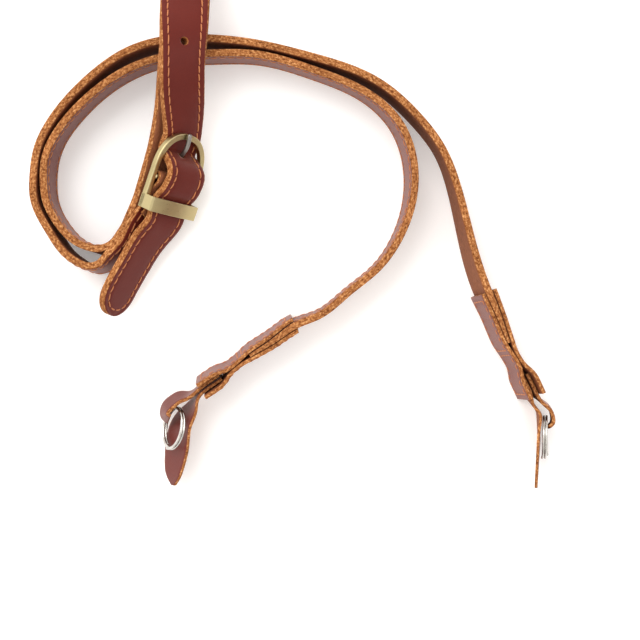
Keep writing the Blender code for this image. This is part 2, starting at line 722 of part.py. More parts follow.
def stand_on_origin():
    """Moves everything so that the origin is under the middle of the part, on the table."""
    bpy.context.view_layer.update()
    pieces = [o for o in bpy.context.scene.objects if o.type == "MESH"]
    corners = np.array([tuple(v.co) for o in pieces for v in o.data.vertices])
    low, high = corners.min(axis=0), corners.max(axis=0)
    shift = np.array([(low[0] + high[0]) / 2, (low[1] + high[1]) / 2, low[2]])
    for piece in pieces:
        for vertex in piece.data.vertices:
            vertex.co = [c - s for c, s in zip(vertex.co, shift)]
    print("origin in the laid frame, mm:", [round(float(v) * 1000, 2) for v in shift])


def main():
    for old in list(bpy.data.objects):
        bpy.data.objects.remove(old)
    buckle = Buckle()
    tip_half = make_tip_half(buckle)
    buckle_half = make_buckle_half(buckle)
    make_buckle(buckle)
    rod("buckle_prong", prong_path(buckle), PRONG_RADIUS, 8, steel("buckle_prong"))
    ends = (
        ("left", tip_half, 1, LEFT_LOOP, LEFT_GUARD, LEFT_RING),
        ("right", buckle_half, -1, RIGHT_LOOP, RIGHT_GUARD, RIGHT_RING),
    )
    for side, whole, sign, loop_rows, guard_rows, ring_row in ends:
        fine = make_connector(side, whole)
        make_ring_loop(side, fine, sign, loop_rows)
        make_guard(side, fine, -sign, guard_rows)
        make_ring(side, ring_row)
    stand_on_origin()


main()
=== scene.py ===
# %% [markdown]
# # Camera neck strap
# A long strap of thick leather, laid in loops on its edge. Two halves meet in a stirrup buckle, and each end has a
# sewn connector, a curled loop, a petal guard and a split ring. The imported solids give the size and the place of
# every piece. This scene lays finer pieces over them: leather with three different surfaces, thread, and metal.

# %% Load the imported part
import math

import bmesh
import bpy
import numpy as np
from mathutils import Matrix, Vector


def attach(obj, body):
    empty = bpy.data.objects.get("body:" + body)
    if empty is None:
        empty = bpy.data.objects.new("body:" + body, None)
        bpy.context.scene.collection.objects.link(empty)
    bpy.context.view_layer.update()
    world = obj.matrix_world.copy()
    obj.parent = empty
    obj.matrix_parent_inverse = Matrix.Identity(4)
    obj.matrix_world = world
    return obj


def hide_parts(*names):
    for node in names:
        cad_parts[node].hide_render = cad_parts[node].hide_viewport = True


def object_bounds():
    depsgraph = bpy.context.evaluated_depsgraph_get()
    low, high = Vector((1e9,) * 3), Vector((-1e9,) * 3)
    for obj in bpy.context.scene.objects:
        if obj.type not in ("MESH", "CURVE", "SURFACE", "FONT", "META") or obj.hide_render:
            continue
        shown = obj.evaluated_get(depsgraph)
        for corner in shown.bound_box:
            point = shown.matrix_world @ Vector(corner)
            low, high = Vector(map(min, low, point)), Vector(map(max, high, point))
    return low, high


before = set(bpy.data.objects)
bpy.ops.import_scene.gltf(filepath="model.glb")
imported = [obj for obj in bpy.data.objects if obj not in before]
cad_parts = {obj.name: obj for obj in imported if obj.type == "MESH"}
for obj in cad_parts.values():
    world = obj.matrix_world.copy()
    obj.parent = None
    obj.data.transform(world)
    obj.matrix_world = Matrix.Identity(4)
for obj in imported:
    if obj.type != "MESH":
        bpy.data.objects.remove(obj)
cad_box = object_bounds()
box_mm = [[round(v * 1000, 1) for v in corner] for corner in cad_box]
print("solids:", len(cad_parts), "box in mm:", box_mm)

# %% [markdown]
# ## Sizes
# The strip is drawn again here, finer, from the same sizes and the same listed rows as the solids. Sharing the rows is
# the sure way to keep the fine leather inside the solid one.

# %% Sizes of the strap, the buckle and the ends
# the laid loops
LOOP_WIDTH = 0.190
LOOP_LENGTH = 0.286

# the strap
STRAP_WIDTH = 0.0162
STRAP_THICKNESS = 0.0026
EDGE_EASE = 0.0004
GAP = 0.0003
STEP = 0.005
SKIVED_THICKNESS = 0.0011
SKIVE_LENGTH = 0.0200
HAIRPIN_RADIUS = 0.0105
TIP_SECTIONS = 5

# adjusting holes
HOLE_RADIUS = 0.00125
HOLE_PITCH = 0.041
SPARE_HOLES = 2
HOLE_SIDES = 12

# the buckle
FRAME_SIDE = 0.0020
FRAME_DEPTH = 0.0022
FRAME_TOP = 0.0021
ARC_STEPS = 14
ARC_SQUARENESS = 2.25
WINDOW_PLAY = 0.0011
BAR_RADIUS = 0.0011
BAR_TO_ARC = 0.0036
ARC_RISE = 0.0134
BAR_TO_KEEPER = 0.0090
KEEPER_LENGTH = 0.0050
KEEPER_SHEET = 0.0012
KEEPER_PLAY = 0.0002
KEEPER_CROWN = 0.0005
KEEPER_CORNER = 0.0006
BUCKLE_PLACE = (-0.2695, 0.170, 0.725)
BUCKLE_HEADING = 20.0
BUCKLE_RISE = 8.5
BUCKLE_ROLL = 53.0
FOLD_LEG = 0.0185
FOLD_WIDTH = 0.0146
FOLD_DROP = 0.0070
USED_HOLE = 0.0110
PRONG_RADIUS = 0.0008
PRONG_SLOT = 0.0034

# the connectors and what hangs from them
COVER_LENGTH = 0.0400
COVER_THICKNESS = 0.0014
STRAP_IN_COVER = 0.0210
PINCH_FROM = 0.0095
CONNECTOR_STEP = 0.0025
LOOP_THICKNESS = 0.0013
LOOP_STRIP = 0.0095
GUARD_THICKNESS = 0.0011
GUARD_WIDTH = 0.0160
TAIL = 0.0080
TAIL_GAP = 0.0006
RING_RADIUS = 0.0078
RING_WIRE = 0.0011
RING_WIDTH = 0.0008
RING_TURN_GAP = 0.00015
RING_TURNS = 1.93
RING_STEPS = 46
# where the part's origin lies among the laid loops, and how finely the leather is drawn
ORIGIN = np.array([-0.00870, 0.08244, -0.00026])
FINE = 0.0010
print("strap", STRAP_WIDTH * 1000, "mm wide,", STRAP_THICKNESS * 1000, "mm thick")

# %% [markdown]
# ## The way the strap lies
# Each row is a place along the strap: where its raised edge is, how far its low edge is lifted, and how far it leans.

# %% Rows of the two halves
# columns: x and y of the raised edge as shares of LOOP_WIDTH and LOOP_LENGTH, lift as a share of STRAP_WIDTH, lean
BUCKLE_HALF_ROUTE = [
    (0.396, -0.092, 0.00, -6),
    (0.375, -0.063, 0.00, -6),
    (0.348, -0.032, 0.00, -6),
    (0.326, 0.005, 0.00, -6),
    (0.305, 0.039, 0.00, -7),
    (0.283, 0.082, 0.00, -6),
    (0.250, 0.163, 0.00, -2),
    (0.220, 0.211, 0.00, 0),
    (0.180, 0.246, 0.00, 0),
    (0.107, 0.288, 0.00, 1),
    (-0.016, 0.319, 0.00, 3),
    (-0.118, 0.335, 0.00, 3),
    (-0.205, 0.341, 0.00, 3),
    (-0.291, 0.338, 0.00, 3),
    (-0.358, 0.323, 0.00, 3),
    (-0.414, 0.297, 0.00, 2),
    (-0.459, 0.268, 0.00, 0),
    (-0.495, 0.236, 0.00, 0),
    (-0.515, 0.207, 0.00, 0),
    (-0.522, 0.177, 0.00, 0),
    (-0.521, 0.146, 0.00, 0),
    (-0.494, 0.108, 0.00, 0),
    (-0.465, 0.081, 0.00, 0),
    (-0.440, 0.069, 0.00, 0),
    (-0.420, 0.065, 0.00, 3),
    (-0.400, 0.069, 0.00, 5),
    (-0.383, 0.080, 0.06, 13),
    (-0.368, 0.092, 0.16, 24),
    (-0.3555, 0.106, 0.21, 32),
    (-0.345, 0.120, 0.22, 35),
]

TIP_HALF_ROUTE = [
    (-0.216, -0.087, 0.00, -9),
    (-0.173, -0.067, 0.00, -9),
    (-0.129, -0.044, 0.00, -9),
    (-0.086, -0.026, 0.00, -8),
    (-0.043, -0.006, 0.00, -6),
    (-0.003, 0.005, 0.00, -4),
    (0.051, 0.033, 0.00, -3),
    (0.104, 0.062, 0.00, -3),
    (0.145, 0.100, 0.00, -4),
    (0.173, 0.174, 0.00, -6),
    (0.141, 0.242, 0.00, -3),
    (0.087, 0.274, 0.00, 1),
    (-0.015, 0.303, 0.00, 3),
    (-0.116, 0.321, 0.00, 3),
    (-0.204, 0.322, 0.00, 3),
    (-0.295, 0.316, 0.00, 4),
    (-0.358, 0.300, 0.00, 4),
    (-0.407, 0.278, 0.00, 4),
    (-0.453, 0.249, 0.00, 3),
    (-0.485, 0.220, 0.00, 2),
    (-0.500, 0.196, 0.00, 0),
    (-0.503, 0.173, 0.00, 0),
    (-0.498, 0.144, 0.00, 0),
    (-0.476, 0.116, 0.00, 0),
    (-0.447, 0.096, 0.00, 0),
    (-0.420, 0.088, 0.00, 0),
    (-0.400, 0.087, 0.00, 3),
    (-0.387, 0.091, 0.00, 12),
    (-0.374, 0.100, 0.00, 22),
    (-0.361, 0.112, 0.00, 24),
    (-0.351, 0.125, 0.00, 20),
    (-0.340, 0.141, 0.02, 20),
    (-0.326, 0.172, 0.10, 33),
    (-0.312, 0.204, 0.20, 40),
    (-0.304, 0.226, 0.28, 43),
    (-0.297, 0.249, 0.41, 47),
    (-0.291, 0.272, 0.60, 51),
    (-0.285, 0.306, 1.02, 60),
    (-0.283, 0.338, 1.04, 66),
    (-0.284, 0.380, 0.82, 73),
    (-0.284, 0.440, 0.47, 81),
    (-0.284, 0.520, 0.20, 88),
    (-0.284, 0.620, 0.07, 90),
    (-0.284, 0.742, 0.03, 90),
]

# the way back from the hairpin: the strap runs toward -Y here, so a flat strip leans -90
RETURN_ROUTE = [
    (-0.284, 0.742, 1.28, -90),
    (-0.284, 0.620, 1.16, -90),
    (-0.284, 0.520, 1.08, -90),
    (-0.284, 0.440, 1.06, -88),
    (-0.283, 0.378, 1.24, -78),
    (-0.278, 0.322, 1.35, -58),
    (-0.2785, 0.276, 0.96, -49),
]

# the free tip beyond the keeper
TIP_ROUTE = [
    (-0.3285, 0.108, 0.23, -30),
    (-0.3585, 0.076, 0.18, -28),
    (-0.3810, 0.051, 0.13, -28),
    (-0.3950, 0.031, 0.09, -27),
    (-0.4060, 0.010, 0.06, -27),
]
# heights of the strap and of the pin above the frame's plane, where each bears on the buckle
BODY_UNDER_FRAME = -FRAME_DEPTH / 2 - GAP
OVER_BAR = BAR_RADIUS + 2 * GAP + 2 * PRONG_RADIUS + STRAP_THICKNESS / 2
UNDER_ARC = -FRAME_DEPTH / 2 - GAP - STRAP_THICKNESS / 2
IN_KEEPER = BODY_UNDER_FRAME + 4 * GAP + SKIVED_THICKNESS + STRAP_THICKNESS / 2
KEEPER_ROOF = IN_KEEPER + STRAP_THICKNESS / 2 + GAP + KEEPER_PLAY
OVER_ARC = FRAME_DEPTH / 2 + GAP + PRONG_RADIUS

# columns: shift toward the low side as a share of STRAP_WIDTH, place along the buckle as a share of ARC_RISE,
# height above the frame's plane, added roll
THROUGH_BUCKLE = [
    (-0.05, 1.32, UNDER_ARC, 0),
    (0.0, 1.00, UNDER_ARC * 1.03, 0),
    (0.0, 0.735, UNDER_ARC * 1.07, 0),
    (-0.005, 0.59, 0.0, 0),
    (0.01, 0.44, OVER_BAR * 0.68, 0),
    (0.04, 0.25, OVER_BAR, 0),
    (0.05, 0.0, OVER_BAR, 0),
    (0.02, -0.27, OVER_BAR * 0.7 + IN_KEEPER * 0.3, 0),
    (0.0, -0.52, IN_KEEPER, 0),
    (-0.01, -0.84, IN_KEEPER, 0),
    (-0.04, -1.12, IN_KEEPER + GAP, -3),
]
INTO_BUCKLE = [
    (-0.07, -1.02),
    (-0.04, -0.64),
]

# columns: shift toward the low side as a share of STRAP_WIDTH, place along the buckle as a share of ARC_RISE,
# height above the frame's plane as a share of OVER_ARC
PRONG_BEND = [
    (0.0, 0.28, -0.52),
    (0.0, 0.45, -0.44),
    (-0.01, 0.62, -0.14),
    (-0.03, 0.78, 0.40),
    (-0.05, 0.94, 0.85),
    (-0.07, 1.08, 1.0),
    (-0.09, 1.20, 1.02),
    (-0.10, 1.30, 1.0),
]
print("rows:", len(BUCKLE_HALF_ROUTE), "and", len(TIP_HALF_ROUTE) + len(RETURN_ROUTE) + len(TIP_ROUTE))

# %% Rows of the curled loops, the guards and the rings
# columns: x and y of the strip's middle as shares of LOOP_WIDTH and LOOP_LENGTH, its height as a share of
# STRAP_WIDTH, lean
LEFT_LOOP = [
    (-0.246, -0.0934, 0.50, 12),
    (-0.260, -0.0950, 0.50, 20),
    (-0.2747, -0.1010, 0.50, 24),
    (-0.2865, -0.1095, 0.50, 24),
    (-0.2880, -0.1175, 0.50, 24),
    (-0.2800, -0.1225, 0.50, 24),
]
LEFT_GUARD = [
    (-0.230, -0.097, 0.51, 12),
    (-0.235, -0.105, 0.50, 18),
    (-0.2525, -0.1233, 0.49, 28),
    (-0.2637, -0.1455, 0.46, 35),
    (-0.269, -0.169, 0.45, 36),
    (-0.273, -0.1887, 0.44, 36),
    (-0.2726, -0.204, 0.43, 36),
]
RIGHT_LOOP = [
    (0.4120, -0.1010, 0.50, -6),
    (0.4240, -0.1075, 0.50, -8),
    (0.4315, -0.1185, 0.50, -8),
    (0.4305, -0.1275, 0.50, -8),
    (0.4225, -0.1320, 0.50, -8),
]
RIGHT_GUARD = [
    (0.3942, -0.1035, 0.50, -6),
    (0.4045, -0.1120, 0.50, -6),
    (0.4065, -0.1283, 0.50, -9),
    (0.4058, -0.148, 0.50, -12),
    (0.4042, -0.169, 0.50, -12),
    (0.4028, -0.1875, 0.49, -12),
    (0.4014, -0.2066, 0.48, -12),
]

# columns: share of the petal's length, share of GUARD_WIDTH
PETAL = [(0.0, 0.60), (0.15, 0.62), (0.33, 0.85), (0.52, 1.0), (0.70, 0.98), (0.84, 0.82), (0.94, 0.54), (1.0, 0.16)]

# x, y and height of the ring's middle as shares, its lean, and the heading of its far end
LEFT_RING = (-0.2715, -0.1330, 0.530, 34, 12)
RIGHT_RING = (0.4170, -0.1440, 0.530, -10, 0)
print("rows of the loops and guards:", len(LEFT_LOOP), len(LEFT_GUARD), len(RIGHT_LOOP), len(RIGHT_GUARD))

# %% [markdown]
# ## A smooth way through the rows
# A natural cubic spline bends as an even strip of leather does, so it needs few rows. At each station it gives the
# middle of the strip and three directions: along it, across its width, and out of one face.

# %% Spline and stations
def unit(v):
    return v / np.linalg.norm(v)


def spline(knots, values, at):
    """A natural cubic spline through rows of values at the knots, read at the places in at."""
    count = len(knots)
    span = np.diff(knots)
    system = np.eye(count)
    right = np.zeros((count, values.shape[1]))
    slope = np.diff(values, axis=0) / span[:, None]
    for i in range(1, count - 1):
        system[i, i - 1 : i + 2] = span[i - 1], 2 * (span[i - 1] + span[i]), span[i]
        right[i] = 6 * (slope[i] - slope[i - 1])
    bend = np.linalg.solve(system, right)
    i = np.clip(np.searchsorted(knots, at, side="right") - 1, 0, count - 2)
    h = span[i][:, None]
    a = (knots[i + 1] - at)[:, None] / h
    b = 1 - a
    curve = ((a**3 - a) * bend[i] + (b**3 - b) * bend[i + 1]) * h**2 / 6
    return a * values[i] + b * values[i + 1] + curve


def laid(rows, width, thickness):
    """Middle points and width directions (from the low edge to the raised edge) of a route's rows."""
    places = np.array([(r[0] * LOOP_WIDTH, r[1] * LOOP_LENGTH) for r in rows])
    heading = np.gradient(places, axis=0)
    middles, across = [], []
    for place, way, row in zip(places, heading, rows):
        along = unit(np.array([way[0], way[1], 0.0]))
        left = np.array([-along[1], along[0], 0.0])
        lean = math.radians(row[3])
        toward = math.cos(lean) * np.array([0, 0, 1.0]) + math.sin(lean) * left
        foot = width * math.cos(lean) + thickness / 2 * abs(math.sin(lean))
        edge = np.array([place[0], place[1], row[2] * STRAP_WIDTH + foot])
        middles.append(edge - toward * width / 2)
        across.append(toward)
    return middles, across


def hung(rows):
    """Middle points and width directions of a route whose rows give the strip's own middle."""
    places = np.array([(r[0] * LOOP_WIDTH, r[1] * LOOP_LENGTH, r[2] * STRAP_WIDTH) for r in rows])
    heading = np.gradient(places, axis=0)
    across = []
    for way, row in zip(heading, rows):
        along = unit(np.array([way[0], way[1], 0.0]))
        left = np.array([-along[1], along[0], 0.0])
        lean = math.radians(row[3])
        across.append(math.cos(lean) * np.array([0, 0, 1.0]) + math.sin(lean) * left)
    return list(places), across


def route(middles, across, step=STEP):
    """Evenly spaced stations along a smooth curve: middles, unit directions along, across and out of the face."""
    middles, across = np.array(middles), np.array(across)
    knots = np.concatenate([[0], np.cumsum(np.linalg.norm(np.diff(middles, axis=0), axis=1))])
    fine = np.linspace(0, knots[-1], 40 * len(knots))
    curve = spline(knots, middles, fine)
    length = np.concatenate([[0], np.cumsum(np.linalg.norm(np.diff(curve, axis=0), axis=1))])
    count = max(2, round(length[-1] / step))
    at = np.interp(np.linspace(0, length[-1], count + 1), length, fine)
    middle = spline(knots, middles, at)
    along = np.gradient(spline(knots, middles, fine), fine, axis=0)
    along = np.array([np.interp(at, fine, along[:, k]) for k in range(3)]).T
    return frames(middle, along, spline(knots, across, at))


def frames(middle, along, across):
    """The stations with their three directions made square to each other."""
    along = along / np.linalg.norm(along, axis=1)[:, None]
    across = across - along * np.sum(across * along, axis=1)[:, None]
    across = across / np.linalg.norm(across, axis=1)[:, None]
    return middle, along, across, np.cross(across, along)


def travelled(stations):
    """Distance of each station from the first."""
    steps = np.linalg.norm(np.diff(stations[0], axis=0), axis=1)
    return np.concatenate([[0], np.cumsum(steps)])


def joined(*pieces):
    """One run of stations from several, in order."""
    middle = np.concatenate([p[0] for p in pieces])
    across = np.concatenate([p[2] for p in pieces])
    return frames(middle, np.gradient(middle, axis=0), across)


def shifted(stations, off):
    """The stations moved out of the face by off, one value or one for each."""
    middle, along, across, out = stations
    moved = middle + out * np.broadcast_to(off, len(middle))[:, None]
    return frames(moved, np.gradient(moved, axis=0), across)


def chosen(stations, which):
    return tuple(a[which] for a in stations)


def resampled(stations, at, run):
    """The stations read at other distances along the route."""
    read = [np.array([np.interp(at, run, a[:, k]) for k in range(3)]).T for a in stations]
    return frames(read[0], read[1], read[2])


def nearest(stations, place):
    return int(np.argmin(np.linalg.norm(stations[0] - place, axis=1)))


def tail(fine, offset):
    """Middles and width directions of a tail, from inside the connector out to its lower end."""
    inside = [i for i, d in enumerate(travelled(fine)) if d < TAIL][::-1]
    moved = shifted(fine, offset)
    return [moved[0][i] for i in inside], [fine[2][i] for i in inside]


class Buckle:
    """The buckle's own directions: toward the round end, toward the low side, and out of its plane."""

    def __init__(self):
        x, y, z = BUCKLE_PLACE
        heading, rise, roll = (math.radians(v) for v in (BUCKLE_HEADING, BUCKLE_RISE, BUCKLE_ROLL))
        self.bar = np.array([x * LOOP_WIDTH, y * LOOP_LENGTH, z * STRAP_WIDTH])
        level = np.array([math.sin(heading), math.cos(heading), 0.0])
        self.end = math.cos(rise) * level + math.sin(rise) * np.array([0, 0, 1.0])
        side = np.array([math.cos(heading), -math.sin(heading), 0.0])
        top = np.cross(side, self.end)
        self.low = math.cos(roll) * side - math.sin(roll) * top
        self.out = math.sin(roll) * side + math.cos(roll) * top

    def at(self, low, end, out):
        return self.bar + self.low * low + self.end * end + self.out * out

    def turned(self, degrees):
        """The direction to the raised side, rolled further by so many degrees."""
        more = math.radians(degrees)
        return -math.cos(more) * self.low + math.sin(more) * self.out

buckle = Buckle()
print("buckle's bar stands", round(buckle.bar[2] * 1000, 1), "mm above the table")

# %% [markdown]
# ## Three surfaces of one strip
# Thick vegetable leather has a smooth dyed grain side, a fibrous flesh side, and cut edges where the raw fibre shows.
# A section round the strip is cut into these three, so that each can have its own material. The grain side sinks a
# little under the stitches and rounds off at the edge, as a pressed and sewn strap does.

# %% Section of the leather
STITCH_IN = 0.0023
STITCH_SINK = 0.00016
EDGE_ROLL = 0.00032
GRAIN, FLESH, EDGE = 0, 1, 2
GRAIN_SHARES = (1.0, 0.93, 0.86, 0.79, 0.72, 0.65, 0.5, 0.25, 0.0)


def section(width, thickness, sewn):
    """Points round the strip as (across, toward the grain side, surface, distance over that surface)."""
    w, t = width / 2, thickness / 2
    roll = min(EDGE_ROLL, t * 0.6, w * 0.4)
    line = max(w - STITCH_IN, 0.0)
    points = []
    for share in GRAIN_SHARES + tuple(-share for share in GRAIN_SHARES[-2::-1]):
        a = share * (w - roll)
        sink = STITCH_SINK * math.exp(-(((abs(a) - line) / 0.0006) ** 2)) if sewn else 0.0
        rim = 0.00010 * max(0.0, (abs(share) - 0.86) / 0.14) ** 2
        points.append((a, t - sink - rim, GRAIN, a))
    for share in (0.86, 0.45, 0.0, -0.45, -0.86):
        points.append((-w + 0.00004 * abs(share), share * (t - roll * 0.5), EDGE, share * t))
    for share in (-1.0, -0.75, -0.4, 0.0, 0.4, 0.75, 1.0):
        a = share * (w - roll * 0.6)
        points.append((a, -t, FLESH, a))
    for share in (-0.86, -0.45, 0.0, 0.45, 0.86):
        points.append((w - 0.00004 * abs(share), share * (t - roll * 0.5), EDGE, share * t))
    return points


print("points round the strip:", len(section(STRAP_WIDTH, STRAP_THICKNESS, True)))

# %% [markdown]
# The section is swept along the stations. The UV map holds true lengths in metres, along the strip and across the
# surface, so that grain and fibre keep their size whatever the piece. Raw edges aren't quite straight: a slow and a
# quick wobble, each a sum of sines, moves them by a tenth of a millimetre.

# %% Sweep of the leather
def wobble(run, seed, size):
    """A quiet unevenness along the strip."""
    waves = ((230.0, 0.5), (520.0, 0.3), (1130.0, 0.2))
    total = 0.0
    for k, (pace, part) in enumerate(waves, 1):
        total += part * math.sin(run * pace * (1 + 0.13 * seed) + 2.1 * seed * k)
    return size * total


def leather_strip(name, stations, width, thickness, grain_side, materials, sewn=True, rough_edge=0.00010):
    """One piece of leather. grain_side is 1 if its grain is on the out side of the stations, else -1."""
    middle, _, across, out = stations
    run = travelled(stations)
    width = np.broadcast_to(width, len(run))
    thickness = np.broadcast_to(thickness, len(run))
    rows = []
    for i in range(len(run)):
        ring = section(width[i], thickness[i], sewn and thickness[i] > 0.002)
        here = []
        for a, b, surface, over in ring:
            if surface == EDGE:
                seed = 1 + (a > 0) + 3 * round(b / STRAP_THICKNESS * 4)
                a += math.copysign(wobble(run[i], seed, rough_edge), a)
            here.append((middle[i] + across[i] * a + out[i] * b * grain_side - ORIGIN, surface, over))
        rows.append(here)
    count = len(rows[0])
    verts = [place for here in rows for place, _, _ in here]
    faces, kinds, maps = [], [], []
    order = (0, 1, 2, 3) if grain_side > 0 else (0, 3, 2, 1)
    for i in range(len(rows) - 1):
        for k in range(count):
            n = (k + 1) % count
            kind = EDGE if EDGE in (rows[i][k][1], rows[i][n][1]) else rows[i][k][1]
            corners = [(i, k), (i + 1, k), (i + 1, n), (i, n)]
            spot = []
            for row, point in corners:
                over = rows[row][point][2]
                if rows[row][point][1] != kind:
                    place = rows[row][point][0] - middle[row] + ORIGIN
                    over = math.copysign(thickness[row] / 2, np.dot(place, out[row]) * grain_side)
                spot.append((run[row], over))
            faces.append([corners[q][0] * count + corners[q][1] for q in order])
            maps.append([spot[q] for q in order])
            kinds.append(kind)
    for row, flip in ((0, False), (len(rows) - 1, True)):
        cap = [row * count + k for k in range(count)]
        places = [verts[c] + ORIGIN - middle[row] for c in cap]
        spot = [(float(np.dot(place, across[row])), float(np.dot(place, out[row]))) for place in places]
        if flip != (grain_side < 0):
            cap, spot = cap[::-1], spot[::-1]
        faces.append(cap)
        maps.append(spot)
        kinds.append(EDGE)
    mesh = bpy.data.meshes.new(name)
    mesh.from_pydata([tuple(v) for v in verts], [], faces)
    for look in materials:
        mesh.materials.append(look)
    mesh.polygons.foreach_set("material_index", kinds)
    layer = mesh.uv_layers.new(name="strip")
    layer.data.foreach_set("uv", [value for spots in maps for spot in spots for value in spot])
    shade_and_turn_out(mesh)
    piece = bpy.data.objects.new(name, mesh)
    bpy.context.scene.collection.objects.link(piece)
    return piece


def shade_and_turn_out(mesh):
    """Faces outward, smooth on the faces of the strip, with a crisp line where the grain meets the cut edge."""
    shape = bmesh.new()
    shape.from_mesh(mesh)
    if shape.calc_volume(signed=True) < 0:
        bmesh.ops.reverse_faces(shape, faces=shape.faces)
    for face in shape.faces:
        face.smooth = len(face.verts) == 4
    for edge in shape.edges:
        kinds = {face.material_index for face in edge.link_faces}
        edge.smooth = not (len(kinds) == 2 and GRAIN in kinds)
    shape.to_mesh(mesh)
    shape.free()


print("sweep ready, one station each", FINE * 1000, "mm")

# %% [markdown]
# ## Shared effects
# Several materials need the same things: a fine leather grain, loose fibre, and worn or dusty patches. Each is a node
# group with named inputs, built once. The groups read the strip's own map, so nothing slides with the camera.

# %% Helper for node groups
def new_group(name, inputs, outputs):
    """An empty node group with float inputs and the outputs given as (name, type)."""
    group = bpy.data.node_groups.new(name, "ShaderNodeTree")
    for label, kind, value in inputs:
        made = group.interface.new_socket(name=label, in_out="INPUT", socket_type=kind)
        if kind != "NodeSocketVector":
            made.default_value = value
    for label, kind in outputs:
        group.interface.new_socket(name=label, in_out="OUTPUT", socket_type=kind)
    tree = group.nodes
    return group, tree.new("NodeGroupInput"), tree.new("NodeGroupOutput")


def link(tree, a, b):
    tree.links.new(a, b)


def maths(tree, kind, a, b=None):
    """A Math node. a and b are sockets or numbers."""
    node = tree.nodes.new("ShaderNodeMath")
    node.operation = kind
    for slot, value in enumerate((a, b)):
        if isinstance(value, (int, float)):
            node.inputs[slot].default_value = value
        elif value is not None:
            link(tree, value, node.inputs[slot])
    return node.outputs[0]


def noise(tree, vector, scale, detail=3.0, roughness=0.55):
    """A Noise Texture's grey value. scale is a socket or a number."""
    node = tree.nodes.new("ShaderNodeTexNoise")
    link(tree, vector, node.inputs["Vector"])
    node.inputs["Detail"].default_value = detail
    node.inputs["Roughness"].default_value = roughness
    if isinstance(scale, (int, float)):
        node.inputs["Scale"].default_value = scale
    else:
        link(tree, scale, node.inputs["Scale"])
    return node.outputs["Fac"]


def stretched(tree, vector, x, y, z=1.0):
    """The vector with its parts multiplied."""
    node = tree.nodes.new("ShaderNodeVectorMath")
    node.operation = "MULTIPLY"
    link(tree, vector, node.inputs[0])
    node.inputs[1].default_value = (x, y, z)
    return node.outputs[0]


def ramp(tree, value, stops):
    """A Color Ramp with stops of (place, colour)."""
    node = tree.nodes.new("ShaderNodeValToRGB")
    link(tree, value, node.inputs[0])
    bar = node.color_ramp.elements
    while len(bar) < len(stops):
        bar.new(0.5)
    for element, (place, colour) in zip(bar, stops):
        element.position = place
        element.color = (*colour, 1.0) if len(colour) == 3 else colour
    return node.outputs["Color"]


def mixed(tree, share, a, b, kind="MIX"):
    """Two colours mixed. share is a socket or a number, a and b are sockets or colours."""
    node = tree.nodes.new("ShaderNodeMix")
    node.data_type = "RGBA"
    node.blend_type = kind
    for slot, value in (("Factor", share), ("A", a), ("B", b)):
        wanted = "VALUE" if slot == "Factor" else "RGBA"
        target = [s for s in node.inputs if s.name == slot and s.type == wanted][0]
        if isinstance(value, bpy.types.NodeSocket):
            link(tree, value, target)
        elif isinstance(value, (int, float)):
            target.default_value = value
        else:
            target.default_value = (*value, 1.0)
    return [s for s in node.outputs if s.type == "RGBA"][0]


print("node helpers ready")

# %% Grain, fibre and patches
FLOAT, VECTOR = "NodeSocketFloat", "NodeSocketVector"


def make_grain():
    """Pores and fine creases of dyed leather: a height, and a mask of the pores."""
    inputs = [("Place", VECTOR, 0), ("Size", FLOAT, 2600.0)]
    group, start, end = new_group("leather grain", inputs, [("Height", FLOAT), ("Pores", FLOAT)])
    cells = group.nodes.new("ShaderNodeTexVoronoi")
    cells.feature = "DISTANCE_TO_EDGE"
    link(group, start.outputs["Place"], cells.inputs["Vector"])
    link(group, start.outputs["Size"], cells.inputs["Scale"])
    soft = noise(group, start.outputs["Place"], 900.0, 4.0)
    creases = maths(group, "MINIMUM", maths(group, "MULTIPLY", cells.outputs["Distance"], 4.0), 1.0)
    height = maths(group, "ADD", maths(group, "MULTIPLY", creases, 0.5), maths(group, "MULTIPLY", soft, 0.8))
    link(group, height, end.inputs["Height"])
    link(group, maths(group, "SUBTRACT", 1.0, creases), end.inputs["Pores"])
    return group


def make_fibre():
    """Loose fibre of a raw surface: a height and a speckle, drawn out along the strip by Length."""
    inputs = [("Place", VECTOR, 0), ("Size", FLOAT, 3200.0), ("Length", FLOAT, 0.5)]
    group, start, end = new_group("raw fibre", inputs, [("Height", FLOAT), ("Speckle", FLOAT), ("Clumps", FLOAT)])
    parts = group.nodes.new("ShaderNodeSeparateXYZ")
    link(group, start.outputs["Place"], parts.inputs[0])
    drawn = group.nodes.new("ShaderNodeCombineXYZ")
    link(group, maths(group, "MULTIPLY", parts.outputs["X"], start.outputs["Length"]), drawn.inputs["X"])
    link(group, parts.outputs["Y"], drawn.inputs["Y"])
    link(group, parts.outputs["Z"], drawn.inputs["Z"])
    hairs = noise(group, drawn.outputs[0], start.outputs["Size"], 5.0, 0.7)
    coarse = noise(group, drawn.outputs[0], maths(group, "MULTIPLY", start.outputs["Size"], 0.28), 3.0)
    clumps = noise(group, start.outputs["Place"], maths(group, "MULTIPLY", start.outputs["Size"], 0.06), 2.0)
    height = maths(group, "ADD", maths(group, "MULTIPLY", hairs, 0.6), maths(group, "MULTIPLY", coarse, 0.7))
    link(group, height, end.inputs["Height"])
    link(group, hairs, end.inputs["Speckle"])
    link(group, clumps, end.inputs["Clumps"])
    return group


